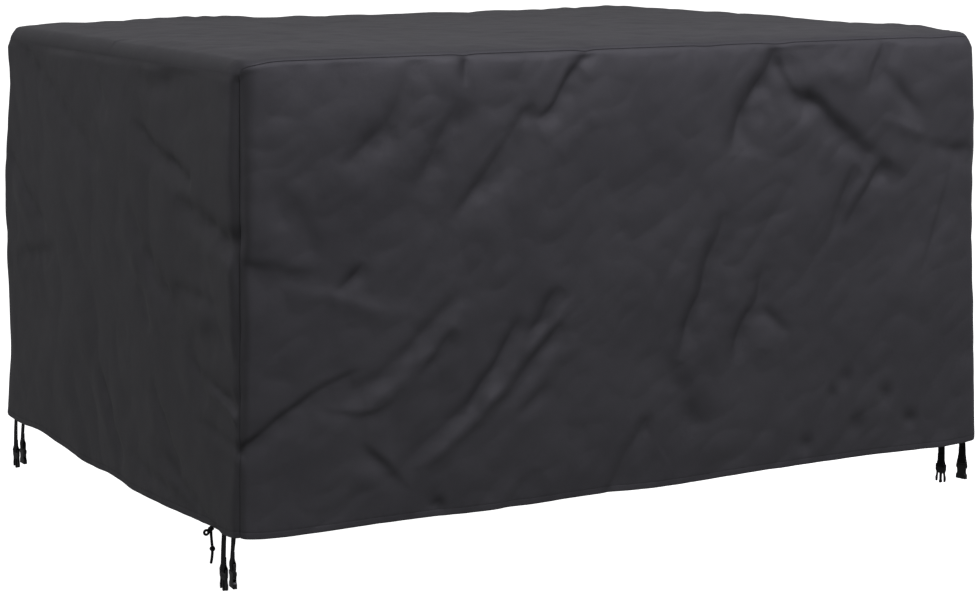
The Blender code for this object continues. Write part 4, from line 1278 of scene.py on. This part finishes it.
def knot_points(centre, size, turns=72):
    """An overhand knot's closed line, filling a box of the given size."""
    made = []
    for t in 2 * math.pi * np.arange(turns) / turns:
        x, y, z = math.sin(t) + 2 * math.sin(2 * t), math.cos(t) - 2 * math.cos(2 * t), -math.sin(3 * t)
        made.append((x / KNOT_HALF_WIDE, z, (y + KNOT_OFF_MIDDLE) / KNOT_HALF_HIGH))
    return centre + np.array(made) * (size / 2)


def line_length(points, closed=False):
    """Lengths along a line from its start to each of its points, and round to the start again if closed."""
    points = np.vstack((points, points[:1])) if closed else points
    return np.r_[0, np.cumsum(np.linalg.norm(np.diff(points, axis=0), axis=1))]


def add_drawcord():
    """A knot at the hem with a small loop beside it, and a tail with a knot half way down."""
    radius = sizes().cord / 2
    names = ("hem_knot", "tail_knot", "tail_lower", "loop")
    boxes = {name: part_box(f"drawcord_{name}") for name in names}
    middle = {name: np.array((low + high) / 2) for name, (low, high) in boxes.items()}
    finish = cord_material()
    for name in ("hem_knot", "tail_knot"):
        low, high = boxes[name]
        size = KNOT_LOOSE * np.array(high - low) - 2 * radius
        mesh = tube_mesh(name, knot_points(middle[name], size), radius, closed=True, sides=10)
        add_piece(f"cord_{name}", mesh, finish, [f"drawcord_{name}"])
    x, y, z = middle["hem_knot"]
    end = boxes["tail_lower"][0].z
    tail = [(x, y, z - 0.002), (x, y, z - 0.012), (x + 0.001, y, z - 0.026), middle["tail_knot"]]
    tail = curve_through([*tail, (x + 0.0008, y, end + 0.012), (x - 0.0015, y, end + 0.0006)])
    mesh = tube_mesh("cord_tail", tail, radius)
    obj = add_piece("cord_tail", mesh, finish, ["drawcord_tail_upper", "drawcord_tail_lower"])
    low, high = boxes["loop"]
    bend = (high.z - low.z) / 2 - radius
    turns = np.radians(np.linspace(60, 372, 22))
    ring = [middle["loop"] + bend * np.array((math.cos(t), 0, math.sin(t))) for t in turns]
    loop = curve_through([(x, y, z + 0.001), *ring, (x, y, z - 0.002)], 2)
    mesh = tube_mesh("cord_loop", loop, LOOP_PRESSED * radius)
    obj = add_piece("cord_loop", mesh, finish, ["drawcord_loop"])


# Finishes ----------------------------------------------------------------------

WEAVE = 0.00085  # wavelengths of the cloth's weave and of the webbing's twill and ribs
TWILL = 0.0012
RIBS = 0.0016
BRAID_LONG = 0.0042  # length of cord in which a strand goes round by one strand
BRAID_STRANDS = 4


class Finish:
    """A material with a Principled shader, and short ways to add its nodes."""

    def __init__(self, name, base, roughness, specular=0.5):
        self.material = bpy.data.materials.new(name)
        self.material.use_nodes = True
        self.tree = self.material.node_tree
        self.shader = self.tree.nodes["Principled BSDF"]
        self.shader.inputs["Base Color"].default_value = (*base, 1)
        self.shader.inputs["Roughness"].default_value = roughness
        self.shader.inputs["Specular IOR Level"].default_value = specular

    def put(self, value, socket):
        """Links a socket from a node's output, or sets it to a plain value."""
        if isinstance(value, bpy.types.NodeSocket):
            self.tree.links.new(value, socket)
        else:
            socket.default_value = value

    def drive(self, name, value):
        self.put(value, self.shader.inputs[name])

    def node(self, kind, **inputs):
        made = self.tree.nodes.new(kind)
        for name, value in inputs.items():
            self.put(value, made.inputs[name])
        return made

    def math(self, operation, *values):
        made = self.node("ShaderNodeMath")
        made.operation = operation
        for socket, value in zip(made.inputs, values):
            self.put(value, socket)
        return made.outputs[0]

    def wave(self, value, long):
        """A sine wave with this wavelength."""
        return self.math("SINE", self.math("MULTIPLY", value, 2 * math.pi / long))

    def objects(self):
        return self.node("ShaderNodeTexCoord").outputs["Object"]

    def uv(self, name):
        made = self.node("ShaderNodeUVMap")
        made.uv_map = name
        parts = self.node("ShaderNodeSeparateXYZ", Vector=made.outputs["UV"])
        return parts.outputs["X"], parts.outputs["Y"]

    def noise(self, scale, detail=3.0, roughness=0.55):
        inputs = {"Scale": scale, "Detail": detail, "Roughness": roughness, "Vector": self.objects()}
        return self.node("ShaderNodeTexNoise", **inputs).outputs["Fac"]

    def bump(self, height, distance, strength, **under):
        made = self.node("ShaderNodeBump", Distance=distance, Strength=strength, Height=height, **under)
        return made.outputs["Normal"]

    def range(self, value, low, high):
        """A value of 0 to 1 mapped to low to high."""
        return self.math("MULTIPLY_ADD", value, high - low, low)

    def blend(self, share, first, second):
        made = self.node("ShaderNodeMix")
        made.data_type = "RGBA"
        for value, socket in ((share, 0), ((*first, 1), 6), ((*second, 1), 7)):
            self.put(value, made.inputs[socket])
        return made.outputs[2]


def once(make):
    """Makes a material the first time it is asked for."""
    made = []

    def found():
        if not made:
            made.append(make())
        return made[0]

    return found


@once
def cloth_material():
    """Coated plain-weave cloth: a dull sheen, a fine weave, small crinkles in the coating, cloudy tone,
    painted crease shade.
    """
    finish = Finish("coated cloth", colours().cloth, 0.58)
    # Painted shade along the creases: it darkens the base colour and weakens the specular shine there, as if
    # shade lay in them.
    painted_crease_shade = finish.node("ShaderNodeAttribute")
    painted_crease_shade.attribute_name = "painted_crease_shade"
    kept = finish.math("MULTIPLY_ADD", painted_crease_shade.outputs["Fac"], -0.85, 1.0)
    finish.drive("Specular IOR Level", finish.math("MULTIPLY", kept, 0.42))
    finish.drive("Sheen Weight", 0.06)
    finish.drive("Sheen Roughness", 0.45)
    cloudy = finish.math("MAXIMUM", finish.range(finish.noise(5.0, 4.0, 0.6), -0.6, 1.5), 0.0)
    tone = finish.math("SMOOTH_MIN", cloudy, 1.0, 0.1)
    scaled = finish.node("ShaderNodeVectorMath")
    scaled.operation = "SCALE"
    finish.put(finish.blend(tone, colours().cloth, colours().cloth_worn), scaled.inputs["Vector"])
    # the creases' painted shade darkens the colour
    finish.put(kept, scaled.inputs["Scale"])
    finish.drive("Base Color", scaled.outputs["Vector"])
    finish.drive("Roughness", finish.range(finish.noise(22.0), 0.50, 0.68))
    weave = finish.math("MULTIPLY", *(finish.wave(part, WEAVE) for part in finish.uv("cloth")))
    crinkle = finish.bump(finish.noise(75.0, 3.0, 0.6), 0.0008, 0.5)
    finish.drive("Normal", finish.bump(weave, 0.00006, 0.5, Normal=crinkle))
    return finish.material


@once
def thread_material():
    finish = Finish("stitching thread", colours().webbing, 0.6)
    finish.drive("Normal", finish.bump(finish.noise(2500.0, 2.0), 0.0001, 0.5))
    finish.drive("Roughness", finish.range(finish.noise(400.0), 0.5, 0.75))
    return finish.material


@once
def webbing_material():
    """Ribbed webbing: fine ribs across, a twill in them, and a little fuzz."""
    finish = Finish("webbing", colours().webbing, 0.72, specular=0.25)
    u, v = finish.uv("cloth")
    twill = finish.wave(finish.math("ADD", u, v), TWILL)
    height = finish.math("ADD", finish.wave(v, RIBS), finish.math("MULTIPLY", twill, 0.5))
    fuzz = finish.bump(finish.noise(1800.0), 0.0002, 0.4)
    finish.drive("Normal", finish.bump(height, 0.00018, 0.8, Normal=fuzz))
    lighter = [1.6 * part for part in colours().webbing]
    finish.drive("Base Color", finish.blend(finish.noise(160.0), colours().webbing, lighter))
    return finish.material


@once
def plastic_material():
    """Moulded plastic with a fine satin grain and faint flow marks."""
    finish = Finish("moulded plastic", colours().plastic, 0.36)
    finish.drive("Roughness", finish.range(finish.noise(90.0, 4.0), 0.28, 0.48))
    lighter = [1.5 * part for part in colours().plastic]
    finish.drive("Base Color", finish.blend(finish.noise(60.0), colours().plastic, lighter))
    grain = finish.node("ShaderNodeTexVoronoi", Scale=2600.0, Vector=finish.objects())
    finish.drive("Normal", finish.bump(grain.outputs["Distance"], 0.00008, 0.35))
    return finish.material


@once
def cord_material():
    """Braided cord: strands that cross both ways round it."""
    finish = Finish("braided cord", colours().cord, 0.7, specular=0.25)
    u, v = finish.uv("cord")
    along = finish.math("MULTIPLY", u, 2 * math.pi / BRAID_LONG)
    around = finish.math("MULTIPLY", v, 2 * math.pi * BRAID_STRANDS)
    strands = [finish.math("SINE", finish.math(way, along, around)) for way in ("ADD", "SUBTRACT")]
    finish.drive("Normal", finish.bump(finish.math("MAXIMUM", *strands), 0.0004, 0.7))
    lighter = [1.8 * part for part in colours().cord]
    finish.drive("Base Color", finish.blend(finish.noise(300.0), colours().cord, lighter))
    return finish.material


# Stage -------------------------------------------------------------------------

CAMERA_AT = Vector((-2.7098, -4.7515, 0.2895))
CAMERA_YAW = math.radians(29.876)  # to the right of +Y
CAMERA_PITCH = math.radians(9.348)  # downwards
COOL = (0.90, 0.86, 1.0)  # tint of the lights at the sides


def add_area_light(name, place, aim, size, power):
    light = bpy.data.lights.new(name, "AREA")
    light.shape = "RECTANGLE"
    light.size, light.size_y = size
    light.energy = power
    light.color = COOL
    obj = new_object(name, light)
    obj.location = place
    obj.rotation_euler = (Vector(aim) - Vector(place)).to_track_quat("-Z", "Y").to_euler()


def add_lights():
    settings = bpy.context.scene.cover_stage
    add_area_light("front", (0.4, -2.6, 2.6), (0.0, -0.5, -0.2), (2.4, 1.6), settings.front)
    add_area_light("right", (2.6, -3.0, 1.4), (0.0, -0.6, -0.4), (1.5, 1.0), settings.right)
    add_area_light("left", (-3.2, 0.6, 0.5), (-0.9, 0.0, -0.4), (1.5, 1.2), settings.left)


def add_camera():
    data = bpy.data.cameras.new("camera")
    data.sensor_width = 36.0
    data.sensor_fit = "HORIZONTAL"
    data.lens = bpy.context.scene.cover_stage.lens
    data.clip_end = 100.0
    obj = new_object("camera", data)
    obj.location = CAMERA_AT
    level = math.cos(CAMERA_PITCH)
    ahead = (math.sin(CAMERA_YAW) * level, math.cos(CAMERA_YAW) * level, -math.sin(CAMERA_PITCH))
    obj.rotation_euler = Vector(ahead).to_track_quat("-Z", "Y").to_euler()
    bpy.context.scene.camera = obj


def add_floor():
    """A pale floor that lights itself, so that it is white from below the object to the horizon."""
    finish = Finish("pale floor", (0.80, 0.80, 0.80), 0.9, specular=0.1)
    finish.drive("Emission Color", (1, 1, 1, 1))
    finish.drive("Emission Strength", 1.0)
    shape = bmesh.new()
    bmesh.ops.create_grid(shape, x_segments=1, y_segments=1, size=40.0)
    bmesh.ops.translate(shape, verts=list(shape.verts), vec=(0, 0, bpy.context.scene.cover_stage.floor))
    obj = new_object("floor", mesh_of(shape, "floor"))
    obj.data.materials.append(finish.material)
    obj.visible_diffuse = False
    obj.visible_glossy = False


def add_world():
    """White behind everything, and for the light a sky that is bright above and dark below."""
    settings = bpy.context.scene.cover_stage
    world = bpy.data.worlds.new("studio")
    bpy.context.scene.world = world
    world.use_nodes = True
    nodes = world.node_tree.nodes
    nodes.clear()
    seen, lighting = (nodes.new("ShaderNodeBackground") for _ in range(2))
    seen.inputs["Color"].default_value = (1, 1, 1, 1)
    direction, parts = nodes.new("ShaderNodeTexCoord"), nodes.new("ShaderNodeSeparateXYZ")
    ramp = nodes.new("ShaderNodeMapRange")
    ramp.inputs["To Min"].default_value = settings.horizon
    ramp.inputs["To Max"].default_value = settings.zenith
    rays, pick = nodes.new("ShaderNodeLightPath"), nodes.new("ShaderNodeMixShader")
    for start, end in (
        (direction.outputs["Generated"], parts.inputs[0]),
        (parts.outputs["Z"], ramp.inputs["Value"]),
        (ramp.outputs["Result"], lighting.inputs["Strength"]),
        (rays.outputs["Is Camera Ray"], pick.inputs[0]),
        (lighting.outputs[0], pick.inputs[1]),
        (seen.outputs[0], pick.inputs[2]),
        (pick.outputs[0], nodes.new("ShaderNodeOutputWorld").inputs[0]),
    ):
        world.node_tree.links.new(start, end)


# Operators ---------------------------------------------------------------------


class COVER_OT_stage(bpy.types.Operator):
    """Add the camera, the floor and the lights"""

    bl_idname = "cover.stage"
    bl_label = "Stage"

    def execute(self, context):
        context.scene.view_settings.view_transform = "Standard"
        add_camera()
        add_floor()
        add_world()
        add_lights()
        return {"FINISHED"}


class COVER_OT_drawcord(bpy.types.Operator):
    """Add the drawcord's visible end with its knots and loop"""

    bl_idname = "cover.drawcord"
    bl_label = "Drawcord"

    def execute(self, context):
        add_drawcord()
        return {"FINISHED"}


class COVER_OT_top(bpy.types.Operator):
    """Add the top panel"""

    bl_idname = "cover.top"
    bl_label = "Top panel"

    def execute(self, context):
        add_top()
        return {"FINISHED"}


class COVER_OT_sides(bpy.types.Operator):
    """Add the four side panels with their creases and hems"""

    bl_idname = "cover.sides"
    bl_label = "Side panels"

    def execute(self, context):
        for panel in OUTWARD:
            add_side(panel)
        return {"FINISHED"}


class COVER_OT_stitching(bpy.types.Operator):
    """Add the stitches that close the drawcord's casing along the hem"""

    bl_idname = "cover.stitching"
    bl_label = "Hem stitching"

    def execute(self, context):
        for panel in OUTWARD:
            add_stitches(f"hem_stitches_{panel}", *hem_line(panel), thread_material(), "cloth")
        return {"FINISHED"}


class COVER_OT_straps(bpy.types.Operator):
    """Add the webbing straps at the corners"""

    bl_idname = "cover.straps"
    bl_label = "Straps"

    def execute(self, context):
        for strap in STRAPS:
            add_strap(strap)
        return {"FINISHED"}


class COVER_OT_buckles(bpy.types.Operator):
    """Add both halves of the side-release buckles"""

    bl_idname = "cover.buckles"
    bl_label = "Buckles"

    def execute(self, context):
        add_buckles()
        return {"FINISHED"}


class COVER_PT_panel(bpy.types.Panel):
    bl_idname = "COVER_PT_panel"
    bl_label = "Fitted cover"
    bl_space_type = "VIEW_3D"
    bl_region_type = "UI"
    bl_category = "Cover"

    def draw(self, context):
        for group in (context.scene.cover_sizes, context.scene.cover_colours, context.scene.cover_stage):
            box = self.layout.box()
            for name in group.__annotations__:
                box.prop(group, name)
        for operator in OPERATORS:
            self.layout.operator(operator.bl_idname)


GROUPS = (CoverSizes, CoverColours, StageSettings)
OPERATORS = (
    COVER_OT_stage,
    COVER_OT_drawcord,
    COVER_OT_top,
    COVER_OT_sides,
    COVER_OT_stitching,
    COVER_OT_straps,
    COVER_OT_buckles,
)


def register():
    for made in (*GROUPS, *OPERATORS, COVER_PT_panel):
        bpy.utils.register_class(made)
    bpy.types.Scene.cover_sizes = PointerProperty(type=CoverSizes)
    bpy.types.Scene.cover_colours = PointerProperty(type=CoverColours)
    bpy.types.Scene.cover_stage = PointerProperty(type=StageSettings)


def unregister():
    del bpy.types.Scene.cover_sizes, bpy.types.Scene.cover_colours, bpy.types.Scene.cover_stage
    for made in (COVER_PT_panel, *reversed(OPERATORS), *reversed(GROUPS)):
        bpy.utils.unregister_class(made)


def main():
    register()
    bpy.ops.cover.stage()
    bpy.ops.cover.drawcord()
    bpy.ops.cover.top()
    bpy.ops.cover.sides()
    bpy.ops.cover.stitching()
    bpy.ops.cover.straps()
    bpy.ops.cover.buckles()


if __name__ == "__main__":
    main()
